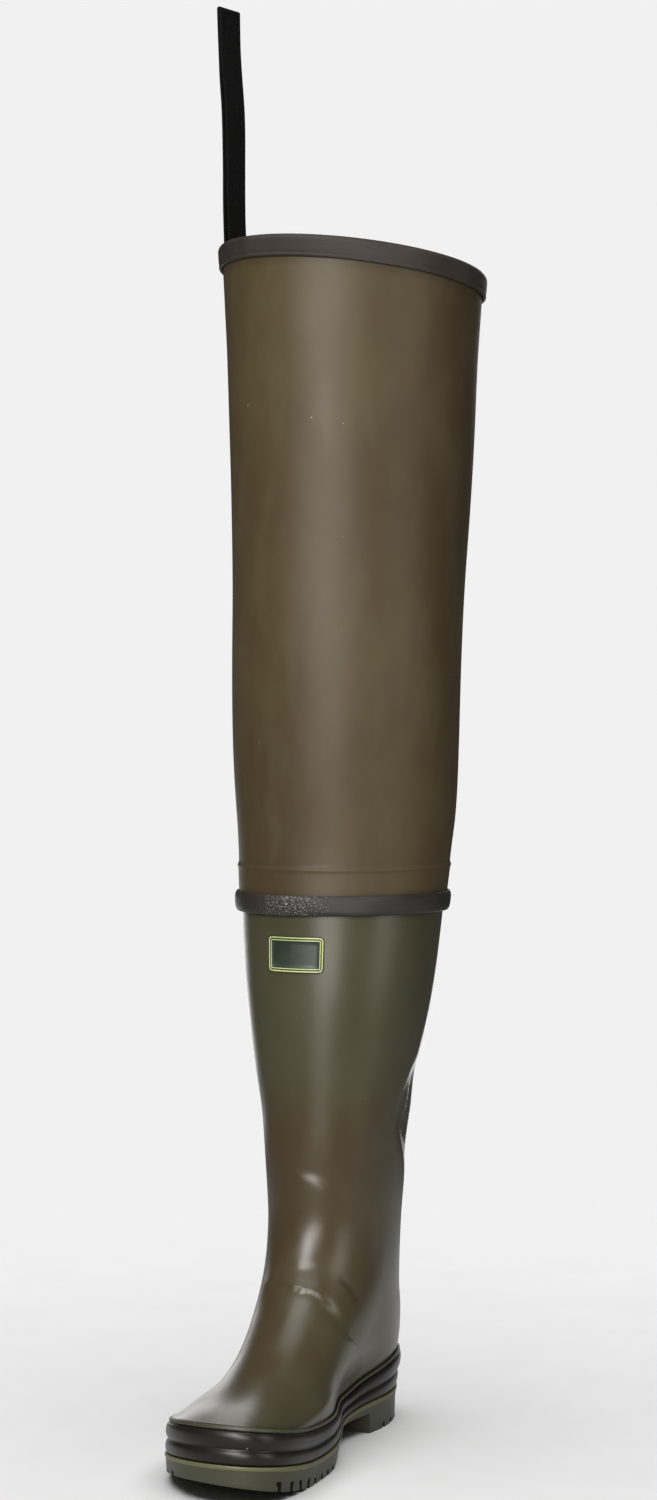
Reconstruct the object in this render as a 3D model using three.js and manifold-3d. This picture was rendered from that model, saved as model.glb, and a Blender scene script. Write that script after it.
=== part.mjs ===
// A hip wader for the right foot: a vulcanised rubber boot with a thin rubber thigh shaft
// bonded over its top, a knee band over that joint, a binding round the rim, a webbing belt
// loop on the outer side, and a cleated outsole under a ribbed foxing band.
// Millimetres. +Z is up, the toe points along -Y and the inner side of the leg is +X.
// The origin lies on the floor under the middle of the heel.

import * as THREE from "three";
import { mergeVertices } from "three/addons/utils/BufferGeometryUtils.js";
import Module from "manifold-3d";

const wasm = await Module();
wasm.setup();

// Foot
const FOOT_LENGTH = 289; // upper at the sole's edge, back of the heel to tip of the toe
const HEEL_REACH = 38; // origin to the back of the heel
const BALL_REACH = 168; // origin forward to the widest part of the foot
const BALL_INNER = 48; // centre line to the inner side of the ball
const BALL_OUTER = 48; // centre line to the outer side of the ball
const BALL_SKEW = 15; // how much farther forward the ball lies on the inner side
const TOE_SWING = 14; // how far the tip of the toe lies to the inner side
const HEEL_ROUND = 2.7; // roundness of the sole's outline at the heel, as an exponent
const WAIST_REACH = 76; // origin forward to the narrowest part of the arch
const WAIST_SPAN = 48; // length over which the waist narrows
const WAIST_INNER = 0.39; // share of the half width taken off the inner side at the waist
const WAIST_OUTER = 0.12; // the same on the outer side

// Leg
const LEG_INNER = 3; // how far the leg's axis lies to the inner side of the heel's
const ANKLE_HEIGHT = 152; // floor to the narrowest ring above the instep
const ANKLE_WIDTH = 88;
const ANKLE_DEPTH = 122;
const ANKLE_MIDDLE = -26; // y of the middle of that ring
const KNEE_HEIGHT = 370; // floor to the middle of the knee band
const KNEE_WIDTH = 141;
const KNEE_DEPTH = 151;
const KNEE_MIDDLE = -12;
const RIM_HEIGHT = 818; // floor to the mean height of the rim
const RIM_WIDTH = 180;
const RIM_DEPTH = 191;
const RIM_MIDDLE = 7;
const RIM_FRONT_RISE = 8; // how much higher the rim is at the front than at its middle
const RIM_OUTER_RISE = 7; // how much higher it is on the outer side

// Walls and clearances
const BOOT_WALL = 2.2;
const THIGH_WALL = 1.4;
const GAP = 0.3; // between bonded pieces
const FACET = 0.15; // added where a piece crosses the facets of the one it lies on
const OVERLAP = 25; // how far the boot's top runs up inside the thigh shaft, from the knee band's middle

// Sole
const SOLE_BALL = 15; // outsole thickness under the ball
const HEEL_LIFT = 22.5; // floor to the top of the outsole at the heel
const TOE_LIFT = 26; // floor to the top of the outsole at the tip of the toe
const TOE_SPRING = 13; // floor to the tread at the tip of the toe
const ARCH_HEIGHT = 13.5; // floor to the underside of the arch
const HEEL_LENGTH = 81; // tread of the heel block
const FOREFOOT_START = 136; // origin forward to the back of the forefoot's tread
const FLAT_END = 178; // origin forward to where the toe spring starts
const TOE_BEND = 195; // origin forward to where the outsole's top starts to rise
const SOLE_STEP = 3.7; // how far the outsole's top lip stands out from the upper
const SOLE_SIDE = 3.1; // the same below the lip
const LIP_DEPTH = 2.4; // height of that lip
const LIP_BEVEL = 0.5;
const TREAD_DRAFT = 0.6; // how much narrower the sole is at its tread than below the lip
const HEEL_DRAFT = 1; // the same at the heel block's tread
const ARCH_RAMP = 34; // length over which the underside rises behind the forefoot's tread
const TOE_CURVE = 1.4; // exponent of the toe spring's curve
const SPRING_SKEW = 0.25; // how obliquely the toe spring starts: sooner on the outer side
const SIDE_DRAFT = 1.2; // how much wider the upper is at its lower edge than at the foxing's top
const INSOLE_THICK = 4;

// Foxing band and the rand above it
const BAND_TOE = 22; // band height at the toe
const BAND_BALL = 18;
const BAND_WAIST = 12.7;
const BAND_BREAST = 17; // at the heel block's front face
const BAND_HEEL = 23; // over the middle of the heel
const BAND_BACK = 24.5;
const BAND_THICK = 3.1;
const BAND_GROOVE = 1; // depth of the groove between its ribs
const BAND_BEVEL = 0.9;
const RAND_HEIGHT = 2.8;
const RAND_THICK = 1.7;

// Tread
const GROOVE_WIDTH = 3;
const GROOVE_DEPTH = 4;
const FOREFOOT_PITCH = 12;
const HEEL_PITCH = 15;
const LUG_ROW = 13; // centre line to each lengthways groove

// Knee band and rim binding
const KNEE_BAND_HEIGHT = 13.8;
const KNEE_BAND_PROUD = 3;
const KNEE_BAND_BEVEL = 1.4;
const THIGH_LAP = 2; // knee band's lower edge up to the thigh shaft's
const BINDING_OUTSIDE = 13.3;
const BINDING_INSIDE = 9.5;
const BINDING_THICK = 2.9;
const BINDING_LINING = 2; // its thickness on the inside
const BINDING_CROWN = 2.2; // its top above the shaft's edge
const BINDING_BEVEL = 1.2;

// Belt loop and what holds it
const STRAP_TURN = 9; // degrees from the middle of the outer side towards the back
const STRAP_WIDTH = 25;
const STRAP_THICK = 1.6;
const STRAP_TOP = 1011; // floor to the fold at the top of the loop
const STRAP_LEAN = 6; // how far the top leans away from the leg
const STRAP_TWIST = 5; // degrees that the loop turns towards its top
const STRAP_SPREAD = 2.2; // clear space between the two layers at the rim
const STITCHED = 30; // length over which the two layers are sewn together below the fold
const RING_DROP = 56; // rim down to the middle of the plastic ring
const BAR_RADIUS = 1.8; // half the thickness of the ring's bars
const RING_OPENING = 7; // clear height inside the ring
const TAB_LENGTH = 30; // webbing tab below the ring
const PATCH_WIDTH = 46;
const PATCH_HEIGHT = 60;
const PATCH_ABOVE = 11; // ring's middle up to the patch's upper edge
const PATCH_THICK = 1.2;

// Label plate on the shin
const LABEL_TURN = 4.5; // degrees from the front towards the outer side
const LABEL_WIDTH = 44.5;
const LABEL_HEIGHT = 25;
const LABEL_DROP = 33.5; // knee band's middle down to the label's middle
const LABEL_THICK = 0.8;

const COLUMNS = 44; // points round every ring; the front and the back each have one
const FOOT_STEPS = 2; // mesh rings for each row of FOOT_SECTIONS

// Rows from the top of the rand to the ankle. rise: share of the way up to the ankle.
// front, back and wide: shares of the way from the ankle ring's front, back and middle out
// to the toe, the heel and the ball. ball: share of the ball's half width against the
// ankle's, and squeeze: what both are scaled by. toeRound, heelRound: exponents of the
// ring's front and back. waist, swing: shares of the arch's narrowing and the toe's swing.
const FOOT_SECTIONS = [
  { rise: 0.0, front: 0.985, back: 1.0, wide: 1.0, ball: 1.0, squeeze: 1.0,
    toeRound: 2.25, heelRound: 3.5, waist: 1.0, swing: 1.0 },
  { rise: 0.06, front: 0.87, back: 1.03, wide: 0.76, ball: 0.9, squeeze: 0.985,
    toeRound: 2.15, heelRound: 3.4, waist: 0.9, swing: 0.9 },
  { rise: 0.13, front: 0.7, back: 1.06, wide: 0.49, ball: 0.75, squeeze: 0.945,
    toeRound: 2.0, heelRound: 3.3, waist: 0.65, swing: 0.75 },
  { rise: 0.22, front: 0.535, back: 1.06, wide: 0.33, ball: 0.6, squeeze: 0.935,
    toeRound: 2.0, heelRound: 3.1, waist: 0.4, swing: 0.55 },
  { rise: 0.32, front: 0.39, back: 1.03, wide: 0.235, ball: 0.45, squeeze: 0.935,
    toeRound: 2.0, heelRound: 2.9, waist: 0.25, swing: 0.35 },
  { rise: 0.44, front: 0.265, back: 0.95, wide: 0.165, ball: 0.3, squeeze: 0.935,
    toeRound: 2.0, heelRound: 2.6, waist: 0.1, swing: 0.2 },
  { rise: 0.58, front: 0.15, back: 0.7, wide: 0.1, ball: 0.15, squeeze: 0.94,
    toeRound: 2.0, heelRound: 2.45, waist: 0.0, swing: 0.1 },
  { rise: 0.76, front: 0.055, back: 0.3, wide: 0.035, ball: 0.05, squeeze: 0.965,
    toeRound: 2.0, heelRound: 2.2, waist: 0.0, swing: 0.0 },
  { rise: 1.0, front: 0.0, back: 0.0, wide: 0.0, ball: 0.0, squeeze: 1.0,
    toeRound: 2.0, heelRound: 2.05, waist: 0.0, swing: 0.0 },
];

// Rows up the leg. up: share of the height between the two named rings. width, depth and
// middle: shares of the way from the lower ring's sizes to the upper ring's.
const SHIN_SECTIONS = [
  { up: 0.0, width: 0.0, depth: 0.0, middle: 0.0 },
  { up: 0.215, width: 0.16, depth: 0.12, middle: 0.125 },
  { up: 0.474, width: 0.455, depth: 0.35, middle: 0.22 },
  { up: 0.707, width: 0.78, depth: 0.7, middle: 0.56 },
  { up: 0.93, width: 0.96, depth: 0.94, middle: 0.92 },
  { up: 1.0, width: 1.0, depth: 1.0, middle: 1.0 },
];
const THIGH_SECTIONS = [
  { up: 0.0, width: 0.0, depth: 0.0, middle: 0.0 },
  { up: 0.063, width: 0.12, depth: 0.11, middle: 0.18 },
  { up: 0.126, width: 0.22, depth: 0.26, middle: 0.33 },
  { up: 0.254, width: 0.352, depth: 0.384, middle: 0.38 },
  { up: 0.381, width: 0.43, depth: 0.53, middle: 0.47 },
  { up: 0.506, width: 0.497, depth: 0.606, middle: 0.63 },
  { up: 0.633, width: 0.61, depth: 0.704, middle: 0.8 },
  { up: 0.761, width: 0.74, depth: 0.8, middle: 0.895 },
  { up: 0.888, width: 0.845, depth: 0.9, middle: 0.947 },
  { up: 1.0, width: 1.0, depth: 1.0, middle: 1.0 },
];
const SHIN_RINGS = [0.1, 0.215, 0.34, 0.474, 0.59, 0.707, 0.82, 0.93, 1.0];
const THIGH_RINGS = [0.0, 0.063, 0.126, 0.254, 0.381, 0.506, 0.633, 0.761, 0.83, 0.888, 0.945];

const TOE_REACH = FOOT_LENGTH - HEEL_REACH;
const BREAST = HEEL_REACH - HEEL_LENGTH; // y of the heel block's front face
const BOOT_TOP = KNEE_HEIGHT + OVERLAP;
const SKIN_STEP = GAP + THIGH_WALL; // boot's outer surface to the thigh shaft's

const lerp = (a, b, t) => a + (b - a) * t;
const clamp = (t) => Math.min(1, Math.max(0, t));
const soft = (t) => clamp(t) ** 2 * (3 - 2 * clamp(t));

// A smooth curve through the values ys at the rising places xs.
function through(xs, ys, x) {
  const last = xs.length - 1;
  let i = 0;
  while (i < last - 1 && x > xs[i + 1]) i += 1;
  const slope = (k) => {
    const low = Math.max(0, k - 1);
    const high = Math.min(last, k + 1);
    return (ys[high] - ys[low]) / (xs[high] - xs[low]);
  };
  const span = xs[i + 1] - xs[i];
  const t = clamp((x - xs[i]) / span);
  const start = slope(i) * span;
  const end = slope(i + 1) * span;
  return (
    (2 * t ** 3 - 3 * t ** 2 + 1) * ys[i] +
    (t ** 3 - 2 * t ** 2 + t) * start +
    (3 * t ** 2 - 2 * t ** 3) * ys[i + 1] +
    (t ** 3 - t ** 2) * end
  );
}

// One value for every column of a table, at place x of its key column.
function rowAt(table, key, x) {
  const xs = table.map((row, i) => (key === null ? i : row[key]));
  const row = {};
  for (const name of Object.keys(table[0]))
    row[name] = through(xs, table.map((r) => r[name]), x);
  return row;
}

// Height of the outsole's top, which the upper, the foxing and the insole stand on.
function bed(y) {
  const ys = [-TOE_REACH - SOLE_STEP, -TOE_BEND, -BALL_REACH, -FOREFOOT_START,
    -WAIST_REACH, BREAST, 0, HEEL_REACH + SOLE_STEP];
  const rise = HEEL_LIFT - SOLE_BALL;
  const zs = [TOE_LIFT, SOLE_BALL + 0.15 * (TOE_LIFT - SOLE_BALL), SOLE_BALL,
    SOLE_BALL + 0.08 * rise, SOLE_BALL + 0.5 * rise, SOLE_BALL + 0.9 * rise, HEEL_LIFT, HEEL_LIFT];
  return through(ys, zs, y);
}

// Height of the foxing band above the outsole's top.
function bandHeight(y) {
  const ys = [-TOE_REACH, -BALL_REACH, -WAIST_REACH, BREAST, 0, HEEL_REACH];
  return through(ys, [BAND_TOE, BAND_BALL, BAND_WAIST, BAND_BREAST, BAND_HEEL, BAND_BACK], y);
}

const sideTop = (y) => bed(y) + bandHeight(y) + GAP + RAND_HEIGHT;

// Underside of the outsole's forefoot, arch and toe, before the heel block is added.
function tread(y, x = 0) {
  const forward = -y - SPRING_SKEW * x;
  const arch = ARCH_HEIGHT * soft((FOREFOOT_START - forward) / ARCH_RAMP);
  const past = Math.max(0, forward - FLAT_END) / (TOE_REACH - FLAT_END);
  return arch + TOE_SPRING * past ** TOE_CURVE;
}

// A point of a ring, from its row of sizes: an egg of two superellipse halves. Angle 0 is
// the front and a quarter turn is the inner side.
function ringPoint(row, angle) {
  const ahead = Math.cos(angle);
  const side = Math.sin(angle);
  const power = 2 / (ahead > 0 ? row.toeRound : row.heelRound);
  const inner = side > 0;
  const wide = row.wide - (inner ? row.skew : 0);
  const y = wide + ((ahead > 0 ? row.front : row.back) - wide) * Math.abs(ahead) ** power;
  const pinch = row.waist * (inner ? WAIST_INNER : WAIST_OUTER);
  const narrow = 1 - pinch * Math.exp(-(((y + WAIST_REACH) / WAIST_SPAN) ** 2));
  const half = (inner ? row.inner : row.outer) * narrow;
  const swing = row.shift + (ahead > 0 ? row.swing * Math.abs(ahead) ** (2 * power) : 0);
  return new THREE.Vector2(Math.sign(side) * half * Math.abs(side) ** power + swing, y);
}

// COLUMNS points round a ring, evenly spaced along each side from the front to the back.
function evenRing(row) {
  const fine = 120;
  const half = COLUMNS / 2;
  const sides = [1, -1].map((turn) => {
    const points = [];
    for (let i = 0; i <= fine; i += 1)
      points.push(ringPoint(row, (turn * Math.PI * i) / fine));
    const lengths = [0];
    for (let i = 1; i <= fine; i += 1)
      lengths.push(lengths[i - 1] + points[i].distanceTo(points[i - 1]));
    const even = [];
    let at = 0;
    for (let k = 0; k <= half; k += 1) {
      const wanted = (lengths[fine] * k) / half;
      while (at < fine - 1 && lengths[at + 1] < wanted) at += 1;
      const t = clamp((wanted - lengths[at]) / (lengths[at + 1] - lengths[at]));
      even.push(points[at].clone().lerp(points[at + 1], t));
    }
    return even;
  });
  return [...sides[0].slice(0, half), ...sides[1].slice(1).reverse()];
}

// The same ring moved outwards in its plane. Seen from above, rings run counter-clockwise.
function grown(ring, distance) {
  return ring.map((p, i) => {
    const before = ring[(i + COLUMNS - 1) % COLUMNS];
    const after = ring[(i + 1) % COLUMNS];
    const along = after.clone().sub(before).normalize();
    return new THREE.Vector2(p.x + along.y * distance, p.y - along.x * distance);
  });
}

const lift = (ring, height) =>
  ring.map((p) => new THREE.Vector3(p.x, p.y, height(p.x, p.y)));

// The foot's ring at a place of FOOT_SECTIONS, counted in rows.
function footRow(place) {
  const row = rowAt(FOOT_SECTIONS, null, place);
  const ankleFront = ANKLE_MIDDLE - ANKLE_DEPTH / 2;
  const ankleBack = ANKLE_MIDDLE + ANKLE_DEPTH / 2;
  return {
    ...row,
    front: lerp(ankleFront, -TOE_REACH, row.front),
    back: lerp(ankleBack, HEEL_REACH, row.back),
    wide: lerp(ANKLE_MIDDLE, -BALL_REACH, row.wide),
    inner: lerp(ANKLE_WIDTH / 2, BALL_INNER, row.ball) * row.squeeze,
    outer: lerp(ANKLE_WIDTH / 2, BALL_OUTER, row.ball) * row.squeeze,
    swing: TOE_SWING * row.swing,
    skew: BALL_SKEW * row.wide,
    shift: LEG_INNER * (1 - row.wide),
  };
}

function footRing(place) {
  const row = footRow(place);
  return lift(evenRing(row), (x, y) => lerp(sideTop(y), ANKLE_HEIGHT, row.rise));
}

// The upper's side wall: its lower edge on the sole and its upper edge at the rand's top.
const wallTop = evenRing(footRow(0));
const wallFoot = grown(evenRing({ ...footRow(0), heelRound: HEEL_ROUND }), SIDE_DRAFT);

// A ring of that wall at the given heights, moved outwards by a distance. Below the wall it
// keeps the outline of the lower edge.
function sideRing(distance, height) {
  const ring = wallFoot.map((p, i) => {
    const low = bed(p.y) + GAP;
    return p.clone().lerp(wallTop[i], clamp((height(p.y, p.x) - low) / (sideTop(p.y) - low)));
  });
  return lift(grown(ring, distance), (x, y) => height(y, x));
}

// The boot's outer surface at a height of the leg, or that surface moved outwards. Near
// the rim the rings tilt with it.
function legRing(z, distance = 0) {
  const low = z <= KNEE_HEIGHT;
  const bottom = low ? ANKLE_HEIGHT : KNEE_HEIGHT;
  const top = low ? KNEE_HEIGHT : RIM_HEIGHT;
  const share = (z - bottom) / (top - bottom);
  const row = rowAt(low ? SHIN_SECTIONS : THIGH_SECTIONS, "up", share);
  const width = lerp(low ? ANKLE_WIDTH : KNEE_WIDTH, low ? KNEE_WIDTH : RIM_WIDTH, row.width);
  const depth = lerp(low ? ANKLE_DEPTH : KNEE_DEPTH, low ? KNEE_DEPTH : RIM_DEPTH, row.depth);
  const middle = lerp(low ? ANKLE_MIDDLE : KNEE_MIDDLE, low ? KNEE_MIDDLE : RIM_MIDDLE, row.middle);
  const tilt = low ? 0 : soft((share - 0.45) / 0.55);
  const ring = evenRing({
    front: middle - depth / 2, back: middle + depth / 2, wide: middle,
    inner: width / 2, outer: width / 2, toeRound: 2, heelRound: 2.05,
    waist: 0, swing: 0, skew: 0, shift: LEG_INNER,
  });
  const rise = (x, y) =>
    -RIM_FRONT_RISE * ((y - middle) / (depth / 2)) - RIM_OUTER_RISE * ((x - LEG_INNER) / (width / 2));
  return lift(grown(ring, distance), (x, y) => z + tilt * rise(x, y));
}

// Builds a geometry from a list of points and a list of triangles.
function geometryOf(points, triangles) {
  const geometry = new THREE.BufferGeometry();
  const numbers = points.flatMap((p) => [p.x, p.y, p.z]);
  geometry.setAttribute("position", new THREE.Float32BufferAttribute(numbers, 3));
  geometry.setIndex(triangles.flat());
  return geometry;
}

// The two triangles of a quad, split along its shorter diagonal.
function quad(points, a, b, c, d) {
  const along = points[a].distanceTo(points[c]) <= points[b].distanceTo(points[d]) + 1e-6;
  return along ? [[a, b, c], [a, c, d]] : [[a, b, d], [b, c, d]];
}

// A closed skin over rings of equal length: a tube whose last ring joins its first.
function loopSkin(rings) {
  const points = rings.flat();
  const count = rings[0].length;
  const triangles = [];
  rings.forEach((ring, r) => {
    const next = (r + 1) % rings.length;
    for (let i = 0; i < count; i += 1) {
      const j = (i + 1) % count;
      triangles.push(...quad(points, r * count + i, r * count + j, next * count + j, next * count + i));
    }
  });
  return geometryOf(points, triangles);
}

// A solid stack of rings, closed by strips across its first and its last ring.
function stackSkin(rings) {
  const points = rings.flat();
  const count = rings[0].length;
  const triangles = [];
  for (let r = 0; r + 1 < rings.length; r += 1)
    for (let i = 0; i < count; i += 1) {
      const j = (i + 1) % count;
      const next = r + 1;
      triangles.push(...quad(points, r * count + i, r * count + j, next * count + j, next * count + i));
    }
  const cap = (start, up) => {
    for (let i = 0; i < count / 2; i += 1) {
      const [a, b] = [start + i, start + i + 1];
      const [c, d] = [start + ((count - i - 1) % count), start + ((count - i) % count)];
      const faces = [];
      if (b !== c) faces.push([a, b, c]);
      if (i > 0) faces.push([a, c, d]);
      for (const [p, q, s] of faces) triangles.push(up ? [p, q, s] : [p, s, q]);
    }
  };
  cap(0, false);
  cap((rings.length - 1) * count, true);
  return geometryOf(points, triangles);
}

// A hollow wall: outer rings from the bottom up, and the same rings moved inwards.
function shell(outer, wall) {
  const last = outer.length - 1;
  const inner = outer.map((ring, r) =>
    ring.map((p, i) => {
      const along = ring[(i + 1) % COLUMNS].clone().sub(ring[(i + COLUMNS - 1) % COLUMNS]);
      const upward = outer[Math.min(last, r + 1)][i].clone().sub(outer[Math.max(0, r - 1)][i]);
      const normal = along.cross(upward).normalize();
      const moved = p.clone().addScaledVector(normal, -wall);
      if (r === 0) moved.z = p.z;
      return moved;
    }),
  );
  return loopSkin([...outer, ...inner.reverse()]);
}

function solidOf(geometry) {
  const bare = new THREE.BufferGeometry();
  bare.setAttribute("position", geometry.getAttribute("position"));
  bare.setIndex(geometry.getIndex());
  const merged = mergeVertices(bare, 1e-3);
  return new wasm.Manifold(
    new wasm.Mesh({
      numProp: 3,
      vertProperties: merged.getAttribute("position").array,
      triVerts: new Uint32Array(merged.getIndex().array),
    }),
  );
}

function geometryFrom(solid) {
  const mesh = solid.getMesh();
  const geometry = new THREE.BufferGeometry();
  geometry.setAttribute("position", new THREE.BufferAttribute(mesh.vertProperties, 3));
  geometry.setIndex(new THREE.BufferAttribute(mesh.triVerts, 1));
  return geometry;
}

function block(width, length, height, x, y, z) {
  return solidOf(new THREE.BoxGeometry(width, length, height).translate(x, y, z));
}

// The upper's side wall moved outwards, at a share of the foxing band's height.
const bandRing = (share, distance) =>
  sideRing(distance, (y) => bed(y) + GAP + share * bandHeight(y));

function bootUpper() {
  const foot = [];
  for (let k = 1; k < (FOOT_SECTIONS.length - 1) * FOOT_STEPS + 1; k += 1)
    foot.push(footRing(k / FOOT_STEPS));
  const shin = SHIN_RINGS.map((share) => legRing(lerp(ANKLE_HEIGHT, KNEE_HEIGHT, share)));
  const side = [bandRing(0, 0), bandRing(1, 0), sideRing(0, sideTop)];
  return shell([...side, ...foot, ...shin, legRing(BOOT_TOP)], BOOT_WALL);
}

function thighShaft() {
  const bottom = KNEE_HEIGHT - KNEE_BAND_HEIGHT / 2 + THIGH_LAP;
  const rings = THIGH_RINGS.map((share) => legRing(lerp(KNEE_HEIGHT, RIM_HEIGHT, share), SKIN_STEP));
  return shell([legRing(bottom, SKIN_STEP), ...rings, legRing(RIM_HEIGHT, SKIN_STEP)], THIGH_WALL);
}

// A band whose section is a list of [distance from the boot's surface, height].
const legBand = (profile) => loopSkin(profile.map(([distance, z]) => legRing(z, distance)));

function kneeBand() {
  const low = KNEE_HEIGHT - KNEE_BAND_HEIGHT / 2;
  const high = KNEE_HEIGHT + KNEE_BAND_HEIGHT / 2;
  const seat = SKIN_STEP + GAP;
  const proud = SKIN_STEP + KNEE_BAND_PROUD;
  const thighEnd = low + THIGH_LAP - GAP;
  return legBand([
    [GAP, low], [proud - KNEE_BAND_BEVEL, low],
    [proud, lerp(low, high, 0.3)], [proud, lerp(low, high, 0.7)],
    [proud - KNEE_BAND_BEVEL, high], [seat, high], [seat, thighEnd], [GAP, thighEnd],
  ]);
}

function rimBinding() {
  const seat = SKIN_STEP + GAP + FACET;
  const proud = SKIN_STEP + BINDING_THICK;
  const inside = -GAP;
  const deep = inside - BINDING_LINING;
  const top = RIM_HEIGHT + BINDING_CROWN;
  const shoulder = RIM_HEIGHT - BINDING_BEVEL;
  return legBand([
    [seat, RIM_HEIGHT - BINDING_OUTSIDE], [proud, RIM_HEIGHT - BINDING_OUTSIDE + 0.75 * BINDING_BEVEL],
    [proud, shoulder], [proud - BINDING_BEVEL, lerp(shoulder, top, 0.75)],
    [SKIN_STEP / 2, top], [deep + BINDING_BEVEL / 2, lerp(shoulder, top, 0.75)],
    [deep, shoulder], [deep, RIM_HEIGHT - BINDING_INSIDE],
    [inside, RIM_HEIGHT - BINDING_INSIDE], [inside, RIM_HEIGHT + GAP], [seat, RIM_HEIGHT + GAP],
  ]);
}

function foxingBand() {
  const crest = GAP + BAND_THICK;
  const groove = crest - BAND_GROOVE;
  return loopSkin([
    bandRing(0, GAP), bandRing(0, crest), bandRing(0.4, crest), bandRing(0.46, groove),
    bandRing(0.54, groove), bandRing(0.6, crest), bandRing(0.94, crest),
    bandRing(1, crest - BAND_BEVEL), bandRing(1, GAP),
  ]);
}

function toeRand() {
  const low = (y) => bed(y) + bandHeight(y) + 2 * GAP;
  const inner = GAP + FACET;
  return loopSkin([
    sideRing(inner, low), sideRing(inner + RAND_THICK, low),
    sideRing(inner + 0.75 * RAND_THICK, sideTop), sideRing(inner, sideTop),
  ]);
}

function outsole() {
  const outline = [
    sideRing(SOLE_SIDE - TREAD_DRAFT, tread),
    sideRing(SOLE_SIDE, (y) => bed(y) - LIP_DEPTH - LIP_BEVEL),
    sideRing(SOLE_STEP, (y) => bed(y) - LIP_DEPTH),
    sideRing(SOLE_STEP, bed),
  ];
  const heel = [
    sideRing(SOLE_SIDE - HEEL_DRAFT, () => 0),
    sideRing(SOLE_SIDE - 0.6 * HEEL_DRAFT, () => ARCH_HEIGHT + 1),
  ];
  const far = 4 * FOOT_LENGTH;
  const ahead = block(far, far, far, 0, BREAST - far / 2, 0);
  let sole = solidOf(stackSkin(outline)).add(solidOf(stackSkin(heel)).subtract(ahead));
  const groove = (width, from, to, x, floor) => {
    const cut = block(width, to - from, 2 * GROOVE_DEPTH, x, (from + to) / 2, floor);
    sole = sole.subtract(cut);
  };
  const across = (y, floor) => groove(far, y - GROOVE_WIDTH / 2, y + GROOVE_WIDTH / 2, 0, floor);
  for (let y = -FOREFOOT_START - FOREFOOT_PITCH; y > -TOE_REACH + FOREFOOT_PITCH; y -= FOREFOOT_PITCH)
    across(y, tread(y));
  for (let k = -1.5; k <= 1.5; k += 1)
    across(k * HEEL_PITCH, 0);
  for (const x of [-LUG_ROW, LUG_ROW]) {
    groove(GROOVE_WIDTH, BREAST - GROOVE_WIDTH, HEEL_REACH + 2 * SOLE_STEP, x, 0);
    groove(GROOVE_WIDTH, -TOE_BEND - 1.5 * FOREFOOT_PITCH, ARCH_RAMP / 2 - FOREFOOT_START, x, 0);
  }
  return geometryFrom(sole);
}

function insole() {
  const inside = -BOOT_WALL - GAP;
  return stackSkin([
    sideRing(inside - 0.2, (y) => bed(y) + GAP),
    sideRing(inside - 0.6, (y) => bed(y) + GAP + INSOLE_THICK),
  ]);
}

// A place on the leg: angle in degrees from the front towards the outer side, height, and
// distance out from the boot's surface. out points away from the leg and across round it.
function legPlace(angle, z, distance) {
  const ring = legRing(z, distance);
  const column = (1 - angle / 360) * COLUMNS;
  const i = Math.floor(column);
  const [a, b] = [ring[i % COLUMNS], ring[(i + 1) % COLUMNS]];
  const across = b.clone().sub(a).setZ(0).normalize();
  const out = new THREE.Vector3(across.y, -across.x, 0);
  return { at: a.clone().lerp(b, column - i), across, out };
}

// A plate that follows the leg's surface. low and high are the heights of its lower and
// upper edge, near and far the distances of its two faces from the boot's surface.
function legPlate(angle, width, low, high, near, far) {
  const steps = 6;
  const middle = legPlace(angle, (low + high) / 2, 0).at;
  const girth = Math.hypot(middle.x - LEG_INNER, middle.y - (low > KNEE_HEIGHT ? RIM_MIDDLE : KNEE_MIDDLE));
  const span = THREE.MathUtils.radToDeg(width / girth);
  const rings = [];
  for (let k = 0; k <= steps; k += 1) {
    const turn = angle + span * (0.5 - k / steps);
    const climb = [0, 0.25, 0.5, 0.75, 1].map((share) => lerp(low, high, share));
    const face = climb.map((z) => legPlace(turn, z, near).at);
    rings.push([...face, ...climb.reverse().map((z) => legPlace(turn, z, far).at)]);
  }
  return stackSkin(rings);
}

// A flat strap swept along a closed path: each station gives its middle, the direction of
// its width and the direction of its thickness.
function strapSkin(stations) {
  const corners = [[-1, -1], [-1, 1], [1, 1], [1, -1]];
  const section = ({ at, across, out }) =>
    corners.map(([w, t]) =>
      at.clone()
        .addScaledVector(across, (w * STRAP_WIDTH) / 2)
        .addScaledVector(out, (t * STRAP_THICK) / 2),
    );
  return loopSkin(stations.map(section));
}

// Both layers of a doubled strap. pose(z) gives the middle between them, their directions
// and half their distance; a bend joins them at each end.
function doubledStrap(low, high, steps, pose) {
  const stations = [];
  const layer = (k, side) => {
    const { at, across, out, half } = pose(lerp(low, high, k / steps));
    const facing = out.clone().multiplyScalar(side);
    stations.push({ at: at.clone().addScaledVector(facing, half), across, out: facing });
  };
  const bend = (z, from) => {
    const { at, across, out, half } = pose(z);
    for (let k = 1; k < 6; k += 1) {
      const angle = from + (Math.PI * k) / 6;
      const radial = out.clone().multiplyScalar(Math.cos(angle)).setZ(Math.sin(angle));
      stations.push({ at: at.clone().addScaledVector(radial, half), across, out: radial });
    }
  };
  for (let k = 0; k <= steps; k += 1) layer(k, 1);
  bend(high, 0);
  for (let k = steps; k >= 0; k -= 1) layer(k, -1);
  bend(low, Math.PI);
  return strapSkin(stations);
}

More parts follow.
